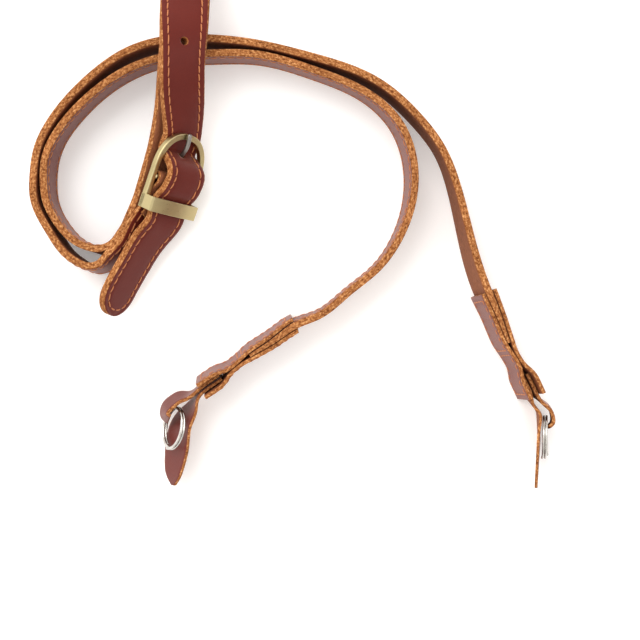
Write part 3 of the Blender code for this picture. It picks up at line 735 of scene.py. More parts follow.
def make_patches():
    """Slow uneven patches, for handling marks, dust and tarnish: a mask with the given amount of contrast."""
    inputs = [("Place", VECTOR, 0), ("Size", FLOAT, 60.0), ("Contrast", FLOAT, 2.0)]
    group, start, end = new_group("slow patches", inputs, [("Mask", FLOAT)])
    slow = noise(group, start.outputs["Place"], start.outputs["Size"], 4.0, 0.6)
    pushed = maths(group, "MULTIPLY", maths(group, "SUBTRACT", slow, 0.5), start.outputs["Contrast"])
    clamp = group.nodes.new("ShaderNodeClamp")
    link(group, maths(group, "ADD", pushed, 0.5), clamp.inputs[0])
    link(group, clamp.outputs[0], end.inputs["Mask"])
    return group


GRAIN_GROUP, FIBRE_GROUP, PATCH_GROUP = make_grain(), make_fibre(), make_patches()
print("shared groups:", [g.name for g in (GRAIN_GROUP, FIBRE_GROUP, PATCH_GROUP)])

# %% Helpers for materials
def new_material(name, roughness=0.5, metallic=0.0, specular=0.5):
    """A material with its Principled shader."""
    made = bpy.data.materials.new(name)
    made.use_nodes = True
    shader = made.node_tree.nodes["Principled BSDF"]
    shader.inputs["Roughness"].default_value = roughness
    shader.inputs["Metallic"].default_value = metallic
    shader.inputs["Specular IOR Level"].default_value = specular
    return made, made.node_tree, shader


def placed(tree, group, place, **values):
    """A group node fed with a place and its own values."""
    node = tree.nodes.new("ShaderNodeGroup")
    node.node_tree = group
    link(tree, place, node.inputs["Place"])
    for label, value in values.items():
        node.inputs[label].default_value = value
    return node


def strip_map(tree):
    node = tree.nodes.new("ShaderNodeUVMap")
    node.uv_map = "strip"
    return node.outputs[0]


def object_map(tree):
    return tree.nodes.new("ShaderNodeTexCoord").outputs["Object"]


def bumped(tree, shader, height, distance, strength=1.0):
    """Feeds the shader's normal from a height in metres times distance."""
    node = tree.nodes.new("ShaderNodeBump")
    node.inputs["Distance"].default_value = distance
    node.inputs["Strength"].default_value = strength
    link(tree, height, node.inputs["Height"])
    link(tree, node.outputs[0], shader.inputs["Normal"])


print("material helpers ready")

# %% [markdown]
# ## Grain side
# The dyed side is a deep burgundy with a satin finish. From low angles it mirrors the pale room and looks mauve, so
# its gloss matters as much as its colour. A fairly smooth surface with a low mirror strength gives that: deep colour
# from above, and a pale veil from the side, warmed by a little sheen.

# %% Burgundy grain
def make_burgundy():
    made, tree, shader = new_material("burgundy grain", 0.45, 0.0, 0.17)
    place = strip_map(tree)
    grain = placed(tree, GRAIN_GROUP, place, Size=2100.0)
    patches = placed(tree, PATCH_GROUP, place, Size=90.0, Contrast=1.5)
    colour = mixed(tree, patches.outputs["Mask"], (0.110, 0.0110, 0.0065), (0.140, 0.0160, 0.0095))
    pores = maths(tree, "MULTIPLY", grain.outputs["Pores"], 0.35)
    link(tree, mixed(tree, pores, colour, (0.070, 0.009, 0.007)), shader.inputs["Base Color"])
    rough = maths(tree, "ADD", maths(tree, "MULTIPLY", patches.outputs["Mask"], 0.10), 0.36)
    link(tree, rough, shader.inputs["Roughness"])
    shader.inputs["Sheen Weight"].default_value = 0.26
    shader.inputs["Sheen Roughness"].default_value = 0.4
    shader.inputs["Sheen Tint"].default_value = (1.0, 0.62, 0.50, 1.0)
    bumped(tree, shader, grain.outputs["Height"], 0.00004, 0.5)
    return made


burgundy = make_burgundy()
print("made", burgundy.name)

# %% [markdown]
# ## Flesh side and raw edges
# The flesh side is brown and lightly brushed. The cut edges are orange and napped like suede; their colour is darkest
# where the fibre lies lowest, which paints shade into the pits between the fibre ends. Both use the same fibre group,
# finer or coarser.

# %% Brown flesh side
def make_flesh():
    made, tree, shader = new_material("brown flesh side", 0.75, 0.0, 0.15)
    place = strip_map(tree)
    fibre = placed(tree, FIBRE_GROUP, place, Size=1500.0, Length=0.35)
    patches = placed(tree, PATCH_GROUP, place, Size=120.0, Contrast=2.0)
    stops = [(0.34, (0.155, 0.050, 0.021)), (0.50, (0.235, 0.082, 0.034)), (0.66, (0.32, 0.122, 0.055))]
    colour = ramp(tree, fibre.outputs["Speckle"], stops)
    colour = mixed(tree, maths(tree, "MULTIPLY", patches.outputs["Mask"], 0.4), colour, (0.21, 0.065, 0.032))
    link(tree, colour, shader.inputs["Base Color"])
    bumped(tree, shader, fibre.outputs["Height"], 0.00012, 0.6)
    return made


flesh = make_flesh()
print("made", flesh.name)

# %% Orange raw edge
def make_raw_edge():
    made, tree, shader = new_material("orange raw edge", 0.9, 0.0, 0.12)
    place = strip_map(tree)
    fibre = placed(tree, FIBRE_GROUP, place, Size=1250.0, Length=0.75)
    # partly painted shade: the speckle also raises the fibre, so the dark low stops are painted shade in the pits, the
    # high stops the fibre's own orange
    stops = [
        (0.36, (0.12, 0.036, 0.011)),
        (0.46, (0.30, 0.105, 0.032)),
        (0.54, (0.46, 0.185, 0.062)),
        (0.64, (0.72, 0.38, 0.155)),
    ]
    colour = ramp(tree, fibre.outputs["Speckle"], stops)
    clumps = ramp(tree, fibre.outputs["Clumps"], [(0.38, (0.62, 0.56, 0.50)), (0.62, (1.0, 1.0, 1.0))])
    link(tree, mixed(tree, 0.6, colour, clumps, "MULTIPLY"), shader.inputs["Base Color"])
    bumped(tree, shader, fibre.outputs["Height"], 0.00045, 1.0)
    return made


raw_edge = make_raw_edge()
LEATHER = [burgundy, flesh, raw_edge]
print("made", raw_edge.name)

# %% [markdown]
# ## The tip half
# This is the long half: out of the left connector, round the loop, through the hairpin, and down through the buckle
# to its rounded tip. Near the tip the width follows a circle, so that the end is cut round.

# %% Route of the tip half
def tip_half_stations():
    middles, across = laid(TIP_HALF_ROUTE, STRAP_WIDTH, STRAP_THICKNESS)
    back_middles, back_across = laid(RETURN_ROUTE, STRAP_WIDTH, STRAP_THICKNESS)
    centre = (middles[-1] + back_middles[0]) / 2
    rise = (back_middles[0][2] - middles[-1][2]) / 2
    for degrees in (-60, -30, 0, 30, 60):
        turn = math.radians(degrees)
        middles.append(centre + np.array([0, HAIRPIN_RADIUS * math.cos(turn), rise * math.sin(turn)]))
        across.append(np.array([-1.0, 0, 0]))
    middles += back_middles
    across += back_across
    for low, end, out, roll in THROUGH_BUCKLE:
        middles.append(buckle.at(low * STRAP_WIDTH, end * ARC_RISE, out))
        across.append(buckle.turned(-roll))
    tip_middles, tip_across = laid(TIP_ROUTE, STRAP_WIDTH, STRAP_THICKNESS)
    return route(middles + tip_middles, across + tip_across, FINE)


tip_whole = tip_half_stations()
tip_strap = chosen(tip_whole, travelled(tip_whole) > STRAP_IN_COVER)
print("tip half:", round(travelled(tip_whole)[-1], 3), "m")

# %% Rounded tip, and the leather itself
TIP_SECTIONS_FINE = 14


def round_tip(stations, radius):
    """Stations with more of them near the far end, and widths that round it off."""
    run = travelled(stations)
    straight = run[run < run[-1] - radius - FINE / 2]
    turns = [math.radians(90 * k / TIP_SECTIONS_FINE) for k in range(TIP_SECTIONS_FINE)] + [math.radians(87)]
    curved = [run[-1] - radius + radius * math.sin(t) for t in turns]
    widths = [2 * radius] * len(straight) + [2 * radius * math.cos(t) for t in turns]
    return resampled(stations, np.concatenate([straight, curved]), run), np.array(widths)


tip_strap, tip_widths = round_tip(tip_strap, STRAP_WIDTH / 2)
tip_run = travelled(tip_strap)
tip_thickness = np.interp(tip_run, (0, COVER_LENGTH - STRAP_IN_COVER), (SKIVED_THICKNESS, STRAP_THICKNESS))
tip_half = leather_strip("fine_tip_half", tip_strap, tip_widths, tip_thickness, 1, LEATHER)
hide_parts("strap_tip_half")
print("faces in the tip half:", len(tip_half.data.polygons))

# %% [markdown]
# ## Adjusting holes
# A punch leaves a clean hole with a soft raw rim. A Boolean with a slightly flared punch gives the wall and the rim in
# one cut, and the punch brings the raw edge's material with it.

# %% Punch
def tube(name, points, radii, sides, look=None):
    """A round bar through points, with a radius for each and closed ends."""
    points = np.array(points)
    along = np.gradient(points, axis=0)
    side = np.array([1.0, 0, 0]) if abs(unit(along[0])[0]) < 0.8 else np.array([0, 1.0, 0])
    verts, faces = [], []
    for i, p in enumerate(points):
        a = unit(along[i])
        side = unit(side - a * np.dot(side, a))
        up = np.cross(a, side)
        for k in range(sides):
            turn = 2 * math.pi * k / sides
            verts.append(p + radii[i] * (math.cos(turn) * side + math.sin(turn) * up) - ORIGIN)
    for i in range(len(points) - 1):
        for k in range(sides):
            n = (k + 1) % sides
            faces.append((sides * i + k, sides * i + n, sides * i + sides + n, sides * i + sides + k))
    faces.append(tuple(reversed(range(sides))))
    faces.append(tuple(range(len(verts) - sides, len(verts))))
    return plain_mesh(name, verts, faces, look)


def plain_mesh(name, verts, faces, look):
    """A smooth-shaded object from points and faces, turned outward."""
    mesh = bpy.data.meshes.new(name)
    mesh.from_pydata([tuple(v) for v in verts], [], faces)
    if look:
        mesh.materials.append(look)
    shape = bmesh.new()
    shape.from_mesh(mesh)
    bmesh.ops.recalc_face_normals(shape, faces=shape.faces)
    if shape.calc_volume(signed=True) < 0:
        bmesh.ops.reverse_faces(shape, faces=shape.faces)
    for face in shape.faces:
        face.smooth = True
    shape.to_mesh(mesh)
    shape.free()
    made = bpy.data.objects.new(name, mesh)
    bpy.context.scene.collection.objects.link(made)
    return made


def punch(piece, points, radii):
    """Cuts a round hole along points."""
    tool = tube("punch", points, radii, 24, raw_edge)
    cut = piece.modifiers.new("punch", "BOOLEAN")
    cut.operation = "DIFFERENCE"
    cut.solver = "EXACT"
    cut.material_mode = "TRANSFER"
    cut.object = tool
    graph = bpy.context.evaluated_depsgraph_get()
    piece.data = bpy.data.meshes.new_from_object(piece.evaluated_get(graph))
    piece.modifiers.clear()
    bpy.data.objects.remove(tool)


print("punch radius", HOLE_RADIUS * 1000, "mm")

# %% Spare holes and the hole in use
def pin_path():
    """Middle line of the bent pin, from the bar up through the used hole and over the round end."""
    return [buckle.at(low * STRAP_WIDTH, end * ARC_RISE, share * OVER_ARC) for low, end, share in PRONG_BEND]


used = tip_run[nearest(tip_strap, buckle.at(0, USED_HOLE, 0))]
for k in range(1, SPARE_HOLES + 1):
    i = int(np.argmin(abs(tip_run - (used - k * HOLE_PITCH))))
    depths = (-2.0, -0.6, 0.30, 0.52, 1.0)
    widths = (1.0, 1.0, 1.0, 1.15, 1.6)
    line = [tip_strap[0][i] + tip_strap[3][i] * STRAP_THICKNESS * d for d in depths]
    punch(tip_half, line, [HOLE_RADIUS * w for w in widths])
pin = pin_path()[1:]
punch(tip_half, pin, [PRONG_RADIUS + 1.5 * GAP] * len(pin))
print("holes:", SPARE_HOLES + 1)

# %% [markdown]
# ## The buckle half
# The short half is sewn into the right connector, lies outside the other half, and thins out before it folds round the
# buckle's bar. Its grain faces away from the loop, so the fold shows its flesh side. The fold is a little wider where
# it fills the buckle's window, and its hidden leg is narrower.

# %% Route of the buckle half
def buckle_half_stations():
    middles, across = laid(BUCKLE_HALF_ROUTE, STRAP_WIDTH, STRAP_THICKNESS)
    for low, end in INTO_BUCKLE:
        share = min(1.0, (-end * ARC_RISE - FOLD_DROP) / SKIVE_LENGTH)
        half = (SKIVED_THICKNESS + (STRAP_THICKNESS - SKIVED_THICKNESS) * share) / 2
        middles.append(buckle.at(low * STRAP_WIDTH, end * ARC_RISE, BODY_UNDER_FRAME - half))
        across.append(buckle.turned(0))
    for end in (-FOLD_DROP / 2, 0):
        middles.append(buckle.at(0, end, -FOLD_RADIUS))
        across.append(buckle.turned(0))
    return route(middles, across, FINE)


FOLD_RADIUS = BAR_RADIUS + GAP + SKIVED_THICKNESS / 2
FOLD_WIDE = STRAP_WIDTH + WINDOW_PLAY
buckle_whole = buckle_half_stations()
print("buckle half:", round(travelled(buckle_whole)[-1], 3), "m to the bar")


# %% Fold round the bar, and the leather itself
def buckle_half_leather(body):
    run = travelled(body)
    to_end = run[-1] - run
    full = np.interp(run, (STRAP_IN_COVER, COVER_LENGTH), (SKIVED_THICKNESS, STRAP_THICKNESS))
    thickness = np.interp(to_end, (FOLD_DROP, FOLD_DROP + SKIVE_LENGTH), (SKIVED_THICKNESS, STRAP_THICKNESS))
    thickness = np.minimum(full, thickness)
    turns = [math.radians(d) for d in range(-80, 81, 10)]
    around = np.array([buckle.at(0, FOLD_RADIUS * math.cos(t), FOLD_RADIUS * math.sin(t)) for t in turns])
    arc = frames(around, np.gradient(around, axis=0), np.array([body[2][-1]] * len(turns)))
    close = to_end < FOLD_LEG
    drop = np.clip(1 - to_end[close] / FOLD_DROP, 0, 1)
    drop = drop * drop * (3 - 2 * drop)
    lying = thickness[close] / 2 + 2 * GAP + SKIVED_THICKNESS / 2
    leg = shifted(chosen(body, close), -(lying + (2 * FOLD_RADIUS - lying) * drop))
    leg = tuple(a[::-1] for a in leg)
    inside = run > STRAP_IN_COVER
    strap = joined(chosen(body, inside), arc, leg)
    # stations before and after the middle of the fold
    over = np.arange(len(strap[0])) - (inside.sum() + len(turns) // 2)
    widths = np.interp(over, (-14, -8, 14, 20), (STRAP_WIDTH, FOLD_WIDE, FOLD_WIDE, FOLD_WIDTH))
    thin = np.full(len(strap[0]) - inside.sum(), SKIVED_THICKNESS)
    return strap, widths, np.concatenate([thickness[inside], thin])


folded, folded_widths, folded_thickness = buckle_half_leather(buckle_whole)
buckle_half = leather_strip("fine_buckle_half", folded, folded_widths, folded_thickness, -1, LEATHER)
slot_half = BAR_RADIUS + 2 * GAP + 2 * PRONG_RADIUS
ends_of_slot = [buckle.at(0, 0, -2 * FOLD_RADIUS - 0.0005), buckle.at(0, 0, 2 * FOLD_RADIUS + 0.0005)]
punch(buckle_half, ends_of_slot, [PRONG_SLOT / 2, PRONG_SLOT / 2])
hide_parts("strap_buckle_half")
print("faces in the buckle half:", len(buckle_half.data.polygons))

# %% [markdown]
# ## Connectors, curled loops and guards
# Each end of the strap is sewn between two short covers with their grain outward. The same pair holds the tails of a
# narrow strip, which curls round the ring, and of a petal that keeps the ring off the camera.

# %% Covers
def make_covers(side, whole):
    run = travelled(whole)
    fine = resampled(whole, np.arange(0, COVER_LENGTH + FINE / 2, FINE), run)
    at = travelled(fine)
    tails = 2 * LOOP_THICKNESS + TAIL_GAP
    places = (0, TAIL, PINCH_FROM + 0.0015, STRAP_IN_COVER - 0.0035, STRAP_IN_COVER, COVER_LENGTH)
    inner = (tails, tails, -GAP, -GAP, SKIVED_THICKNESS, STRAP_THICKNESS)
    offset = np.interp(at, places, inner) / 2 + GAP + COVER_THICKNESS / 2
    offset = np.convolve(np.pad(offset, 2, mode="edge"), np.ones(5) / 5, mode="valid")
    covers = []
    for name, sign in (("inner", 1), ("outer", -1)):
        node = side + "_cover_" + name
        lie = shifted(fine, sign * offset)
        wide = STRAP_WIDTH + np.array([wobble(r, 4 + sign, 0.00030) for r in at])
        made = leather_strip("fine_" + node, lie, wide, COVER_THICKNESS, sign, LEATHER, False, 0.00016)
        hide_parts(node)
        covers.append((made, lie, sign))
    return fine, covers


left_fine, left_covers = make_covers("left", tip_whole)
right_fine, right_covers = make_covers("right", buckle_whole)
print("covers:", len(left_covers) + len(right_covers))


# %% Curled loops and petals
def make_loop(side, fine, sign, rows, grain_side):
    middles, across = tail(fine, sign * (TAIL_GAP + LOOP_THICKNESS) / 2)
    more_middles, more_across = hung(rows)
    keep = slice(None, None, 3)
    stations = route(middles[keep] + more_middles, across[keep] + more_across, 0.0005)
    node = side + "_ring_loop"
    made = leather_strip("fine_" + node, stations, LOOP_STRIP, LOOP_THICKNESS, grain_side, LEATHER, False, 0.00007)
    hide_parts(node)
    return made


def make_petal(side, fine, sign, rows, grain_side):
    middles, across = tail(fine, sign * (TAIL_GAP + GUARD_THICKNESS) / 2)
    more_middles, more_across = hung(rows)
    keep = slice(None, None, 3)
    stations = route(middles[keep] + more_middles, across[keep] + more_across, 0.0006)
    run = travelled(stations)
    shares, widths = zip(*PETAL)
    smooth = spline(np.array(shares), np.array(widths)[:, None], np.clip(run / run[-1], 0, 0.999))[:, 0]
    width = GUARD_WIDTH * np.clip(smooth, 0.08, 1.0)
    node = side + "_guard"
    made = leather_strip("fine_" + node, stations, width, GUARD_THICKNESS, grain_side, LEATHER, False, 0.00018)
    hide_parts(node)
    return made


small_leather = [
    make_loop("left", left_fine, 1, LEFT_LOOP, -1),
    make_petal("left", left_fine, -1, LEFT_GUARD, -1),
    make_loop("right", right_fine, -1, RIGHT_LOOP, 1),
    make_petal("right", right_fine, 1, RIGHT_GUARD, 1),
]
print("loops and petals:", [piece.name for piece in small_leather])

# %% [markdown]
# ## Stitches
# An orange thread runs close to both edges of the grain side. Each stitch is a short thread that rises out of its hole
# and dips into the next one. Real stitches modelled one by one catch the light as thread does, which a texture can't.

# %% Thread
def make_thread():
    made, tree, shader = new_material("orange thread", 0.55, 0.0, 0.4)
    place = strip_map(tree)
    turns = tree.nodes.new("ShaderNodeTexWave")
    turns.wave_type = "BANDS"
    turns.bands_direction = "DIAGONAL"
    turns.inputs["Scale"].default_value = 1.0
    turns.inputs["Distortion"].default_value = 0.6
    link(tree, stretched(tree, place, 2400.0, 2400.0), turns.inputs["Vector"])
    patches = placed(tree, PATCH_GROUP, place, Size=160.0, Contrast=2.5)
    colour = mixed(tree, patches.outputs["Mask"], (0.62, 0.225, 0.080), (0.82, 0.38, 0.165))
    # painted shade: the thread is darker where the wave bands are low, in the grooves between its plies, the same
    # bands that drive the bump
    painted_ply_shade = maths(tree, "MULTIPLY", turns.outputs["Fac"], 0.5)
    link(tree, mixed(tree, painted_ply_shade, (0.46, 0.14, 0.045), colour), shader.inputs["Base Color"])
    bumped(tree, shader, turns.outputs["Fac"], 0.00006, 0.7)
    return made


thread = make_thread()
THREAD_RADIUS = 0.00025
STITCH_PITCH = 0.0030
STITCH_LENGTH = 0.00285
print("made", thread.name)


# %% Stitches along a line
class Surface:
    """The grain side of a strip, which turns (distance along, distance across) into a place."""

    def __init__(self, stations, thickness, grain_side):
        self.stations, self.side = stations, grain_side
        self.run = travelled(stations)
        self.thickness = np.broadcast_to(thickness, len(self.run))

    def at(self, s, a, lift):
        middle, _, across, out = (
            np.array([np.interp(s, self.run, column) for column in part.T]) for part in self.stations
        )
        height = np.interp(s, self.run, self.thickness) / 2 + lift
        return middle + across * a + out * self.side * height - ORIGIN, out * self.side


def sew(name, surface, line, pitch=STITCH_PITCH, length=STITCH_LENGTH, sunk=0.0001):
    """Stitches of one thread along a line of (along, across) points."""
    line = np.array(line)
    far = np.concatenate([[0], np.cumsum(np.linalg.norm(np.diff(line, axis=0), axis=1))])
    count = max(1, int(far[-1] / pitch))
    verts, faces, maps = [], [], []
    sides = 8
    rise = ((0.0, -0.00022, 0.35), (0.08, -0.00005, 0.8), (0.25, 0.00009, 1.0))
    shape = rise + ((0.5, 0.00014, 1.08),) + tuple((1 - share, lift, size) for share, lift, size in rise[::-1])
    for n in range(count):
        start = (n + 0.5) * far[-1] / count - length / 2
        slant = 0.00022
        points, ups = [], []
        for share, lift, _ in shape:
            s = np.interp(start + share * length, far, line[:, 0])
            a = np.interp(start + share * length, far, line[:, 1]) + slant * (share - 0.5)
            point, up = surface.at(s, a, lift - sunk)
            points.append(point)
            ups.append(up)
        along = np.gradient(np.array(points), axis=0)
        base = len(verts)
        for k, (share, _, size) in enumerate(shape):
            way = unit(along[k])
            up = unit(ups[k] - way * np.dot(ups[k], way))
            side = np.cross(way, up)
            for q in range(sides):
                turn = 2 * math.pi * q / sides
                verts.append(points[k] + THREAD_RADIUS * size * (math.cos(turn) * side + 0.8 * math.sin(turn) * up))
        for k in range(len(shape) - 1):
            for q in range(sides):
                m = (q + 1) % sides
                near, far_ring = base + sides * k, base + sides * (k + 1)
                faces.append((near + q, near + m, far_ring + m, far_ring + q))
                u0, u1 = start + shape[k][0] * length, start + shape[k + 1][0] * length
                v0, v1 = q / sides * 0.0017, (q + 1) / sides * 0.0017
                maps.append([(u0, v0), (u0, v1), (u1, v1), (u1, v0)])
        for ends, flip in ((0, True), (len(shape) - 1, False)):
            ring = [base + sides * ends + q for q in range(sides)]
            faces.append(ring[::-1] if flip else ring)
            maps.append([(start, 0.0)] * sides)
    mesh = bpy.data.meshes.new(name)
    mesh.from_pydata([tuple(v) for v in verts], [], faces)
    mesh.materials.append(thread)
    layer = mesh.uv_layers.new(name="strip")
    layer.data.foreach_set("uv", [value for spots in maps for spot in spots for value in spot])
    mesh.polygons.foreach_set("use_smooth", [True] * len(mesh.polygons))
    piece = bpy.data.objects.new(name, mesh)
    bpy.context.scene.collection.objects.link(piece)
    return piece, count


print("stitch", STITCH_LENGTH * 1000, "mm long, every", STITCH_PITCH * 1000, "mm")

# %% Stitches of the two halves
line_in = STRAP_WIDTH / 2 - STITCH_IN
tip_surface = Surface(tip_strap, tip_thickness, 1)
bend_from = tip_run[-1] - STRAP_WIDTH / 2
sewn_from = COVER_LENGTH - STRAP_IN_COVER - 0.001
round_line = [(sewn_from, line_in), (bend_from, line_in)]
half_turn = np.linspace(0.1, math.pi - 0.1, 24)
round_line += [(bend_from + line_in * math.sin(t), line_in * math.cos(t)) for t in half_turn]
round_line += [(bend_from, -line_in), (sewn_from, -line_in)]
tip_sewing, tip_count = sew("stitches_tip_half", tip_surface, round_line)

folded_surface = Surface(folded, folded_thickness, -1)
last = travelled(folded)[int((travelled(buckle_whole) > STRAP_IN_COVER).sum()) - 1] - 0.002
one_edge, first_count = sew("stitches_buckle_half_high", folded_surface, [(sewn_from, line_in), (last, line_in)])
other_edge, second_count = sew("stitches_buckle_half_low", folded_surface, [(sewn_from, -line_in), (last, -line_in)])
sewing = [tip_sewing, one_edge, other_edge]
print("stitches:", tip_count + first_count + second_count)


# %% Stitch boxes of the connectors
def box_line(low, high, across):
    return [(low, across), (high, across), (high, -across), (low, -across), (low, across)]


for covers in (left_covers, right_covers):
    for made, lie, sign in covers:
        surface = Surface(lie, COVER_THICKNESS, sign)
        in_from_edge = STRAP_WIDTH / 2 - 0.0020
        for part, (low, high) in enumerate(((0.0020, 0.0170), (0.0190, 0.0380))):
            label = made.name.replace("fine", "stitches") + "_" + str(part + 1)
            piece, _ = sew(label, surface, box_line(low, high, in_from_edge), 0.0028, 0.0023, 0.00006)
            sewing.append(piece)
print("sewn pieces:", len(sewing))

# %% [markdown]
# ## The buckle
# A cast stirrup with a cross bar and a keeper band, plated in antique brass: pale and rubbed on its ridges, darker and
# warmer in its hollows. A Bevel modifier softens every edge as the casting and polishing do.

# %% Antique brass
def make_brass():
    made, tree, shader = new_material("antique brass", 0.3, 1.0)
    place = object_map(tree)
    patches = placed(tree, PATCH_GROUP, place, Size=220.0, Contrast=2.2)
    scratches = noise(tree, stretched(tree, place, 900.0, 3500.0, 2500.0), 1.0, 4.0, 0.6)
    worn = tree.nodes.new("ShaderNodeNewGeometry").outputs["Pointiness"]
    rubbed = ramp(tree, worn, [(0.47, (0.0, 0.0, 0.0)), (0.56, (1.0, 1.0, 1.0))])
    colour = mixed(tree, patches.outputs["Mask"], (0.170, 0.112, 0.032), (0.320, 0.230, 0.084))
    colour = mixed(tree, rubbed, colour, (0.66, 0.57, 0.32))
    link(tree, colour, shader.inputs["Base Color"])
    rough = maths(tree, "ADD", maths(tree, "MULTIPLY", scratches, 0.22), 0.20)
    link(tree, rough, shader.inputs["Roughness"])
    bumped(tree, shader, scratches, 0.00003, 0.35)
    return made


brass = make_brass()
print("made", brass.name)


# %% Stirrup, bar and keeper
def swept(name, rings, look):
    """A bar with a four-cornered section, through rings of (low, end, out) corners in the buckle's directions."""
    verts = [buckle.at(*corner) - ORIGIN for ring in rings for corner in ring]
    count = len(rings)
    faces = [(3, 2, 1, 0), tuple(4 * count - 4 + k for k in range(4))]
    for i in range(count - 1):
        for k in range(4):
            n = (k + 1) % 4
            faces.append((4 * i + k, 4 * i + n, 4 * i + 4 + n, 4 * i + 4 + k))
    return plain_mesh(name, verts, faces, look)


def stirrup_rings(steps):
    inner = STRAP_WIDTH / 2 + WINDOW_PLAY
    outer = inner + FRAME_SIDE
    foot = -BAR_TO_KEEPER - KEEPER_LENGTH / 2
    sections = [((-outer, foot), (-inner, foot)), ((-outer, 0.0), (-inner, 0.0))]
    for k in range(steps + 1):
        turn = math.pi * k / steps
        side, top = -math.cos(turn), math.sin(turn)
        fuller = (abs(side) ** ARC_SQUARENESS + abs(top) ** ARC_SQUARENESS) ** (-1 / ARC_SQUARENESS)
        side, top = side * fuller, top * fuller
        thick = FRAME_SIDE + (FRAME_TOP - FRAME_SIDE) * top
        far = (outer * side, BAR_TO_ARC + ARC_RISE * top)
        near = ((outer - thick) * side, BAR_TO_ARC + (ARC_RISE - thick) * top)
        sections.append((far, near))
    sections += [((outer, 0.0), (inner, 0.0)), ((outer, foot), (inner, foot))]
    half = FRAME_DEPTH / 2
    return [[(*a, half), (*b, half), (*b, -half), (*a, -half)] for a, b in sections], inner, outer


def soften(piece, width, angle=32):
    """A rounded edge along every sharp corner."""
    bevel = piece.modifiers.new("soft edges", "BEVEL")
    bevel.width = width
    bevel.segments = 4
    bevel.limit_method = "ANGLE"
    bevel.angle_limit = math.radians(angle)
    bevel.harden_normals = True
    return piece


rings, inner, outer = stirrup_rings(56)
stirrup = soften(swept("fine_stirrup", rings, brass), 0.00038)
bar_shares = np.linspace(-inner - FRAME_SIDE / 2, inner + FRAME_SIDE / 2, 12)
bar = tube("fine_bar", [buckle.at(x, 0, 0) for x in bar_shares], [BAR_RADIUS] * 12, 24, brass)
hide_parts("buckle_frame")
print("stirrup", round(outer * 2000, 1), "mm wide")


# %% Keeper band
def keeper_rings():
    half = FRAME_DEPTH / 2
    shares = np.linspace(-1.0, 1.0, 17)
    flat = outer - KEEPER_CORNER
    wall, roof = outer - KEEPER_SHEET, KEEPER_ROOF
    crest = roof + KEEPER_SHEET
    profile = [(-outer, -half), (-outer, crest - KEEPER_CORNER)]
    profile += [(flat * share, crest + KEEPER_CROWN * (1 - share**2)) for share in shares]
    profile += [(outer, crest - KEEPER_CORNER), (outer, -half)]
    inside = [(-wall, -half), (-wall, roof - KEEPER_CORNER / 2)]
    inside += [((wall - KEEPER_CORNER / 2) * share, roof + KEEPER_CROWN * (1 - share**2)) for share in shares]
    inside += [(wall, roof - KEEPER_CORNER / 2), (wall, -half)]
    back, front = -BAR_TO_KEEPER - KEEPER_LENGTH / 2, -BAR_TO_KEEPER + KEEPER_LENGTH / 2
    corners = []
    for a, b in zip(profile, inside):
        corners.append([(a[0], front, a[1]), (b[0], front, b[1]), (b[0], back, b[1]), (a[0], back, a[1])])
    return corners


keeper = soften(swept("fine_keeper", keeper_rings(), brass), 0.00022)
print("keeper", KEEPER_LENGTH * 1000, "mm long")

# %% [markdown]
# ## Prong and rings
# The prong is a plated wire, grey as pewter where the brass has worn off. The split rings are spring wire, wound
# nearly twice and nickel plated.

# %% Pewter and nickel
def make_plate(name, dark, light, low_rough):
    made, tree, shader = new_material(name, low_rough, 1.0)
    place = object_map(tree)
    patches = placed(tree, PATCH_GROUP, place, Size=400.0, Contrast=2.0)
    link(tree, mixed(tree, patches.outputs["Mask"], dark, light), shader.inputs["Base Color"])
    fine_lines = noise(tree, stretched(tree, place, 1500.0, 2600.0, 4200.0), 1.0, 4.0)
    lines_share = maths(tree, "MULTIPLY", fine_lines, 0.18)
    link(tree, maths(tree, "ADD", lines_share, low_rough), shader.inputs["Roughness"])
    bumped(tree, shader, fine_lines, 0.00002, 0.3)
    return made


pewter = make_plate("grey pewter", (0.17, 0.155, 0.14), (0.32, 0.30, 0.275), 0.30)
nickel = make_plate("bright nickel", (0.45, 0.43, 0.40), (0.68, 0.66, 0.62), 0.12)
print("made", pewter.name, "and", nickel.name)

# %% Prong
reach = BAR_RADIUS + GAP + PRONG_RADIUS
turns = [math.radians(d) for d in range(90, 331, 12)]
hook = [buckle.at(0, reach * math.cos(t), reach * math.sin(t)) for t in turns]
path = np.array(hook + pin_path())
knots = np.concatenate([[0], np.cumsum(np.linalg.norm(np.diff(path, axis=0), axis=1))])
fine_at = np.linspace(0, knots[-1], 90)
wire = spline(knots, path, fine_at)
left_to_tip = knots[-1] - fine_at
wire_radii = PRONG_RADIUS * np.sqrt(np.clip(1 - (1 - np.clip(left_to_tip / PRONG_RADIUS, 0, 1)) ** 2, 0.02, 1))
prong = tube("fine_prong", wire, wire_radii, 20, pewter)
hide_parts("buckle_prong")
print("prong wire:", round(knots[-1] * 1000, 1), "mm")


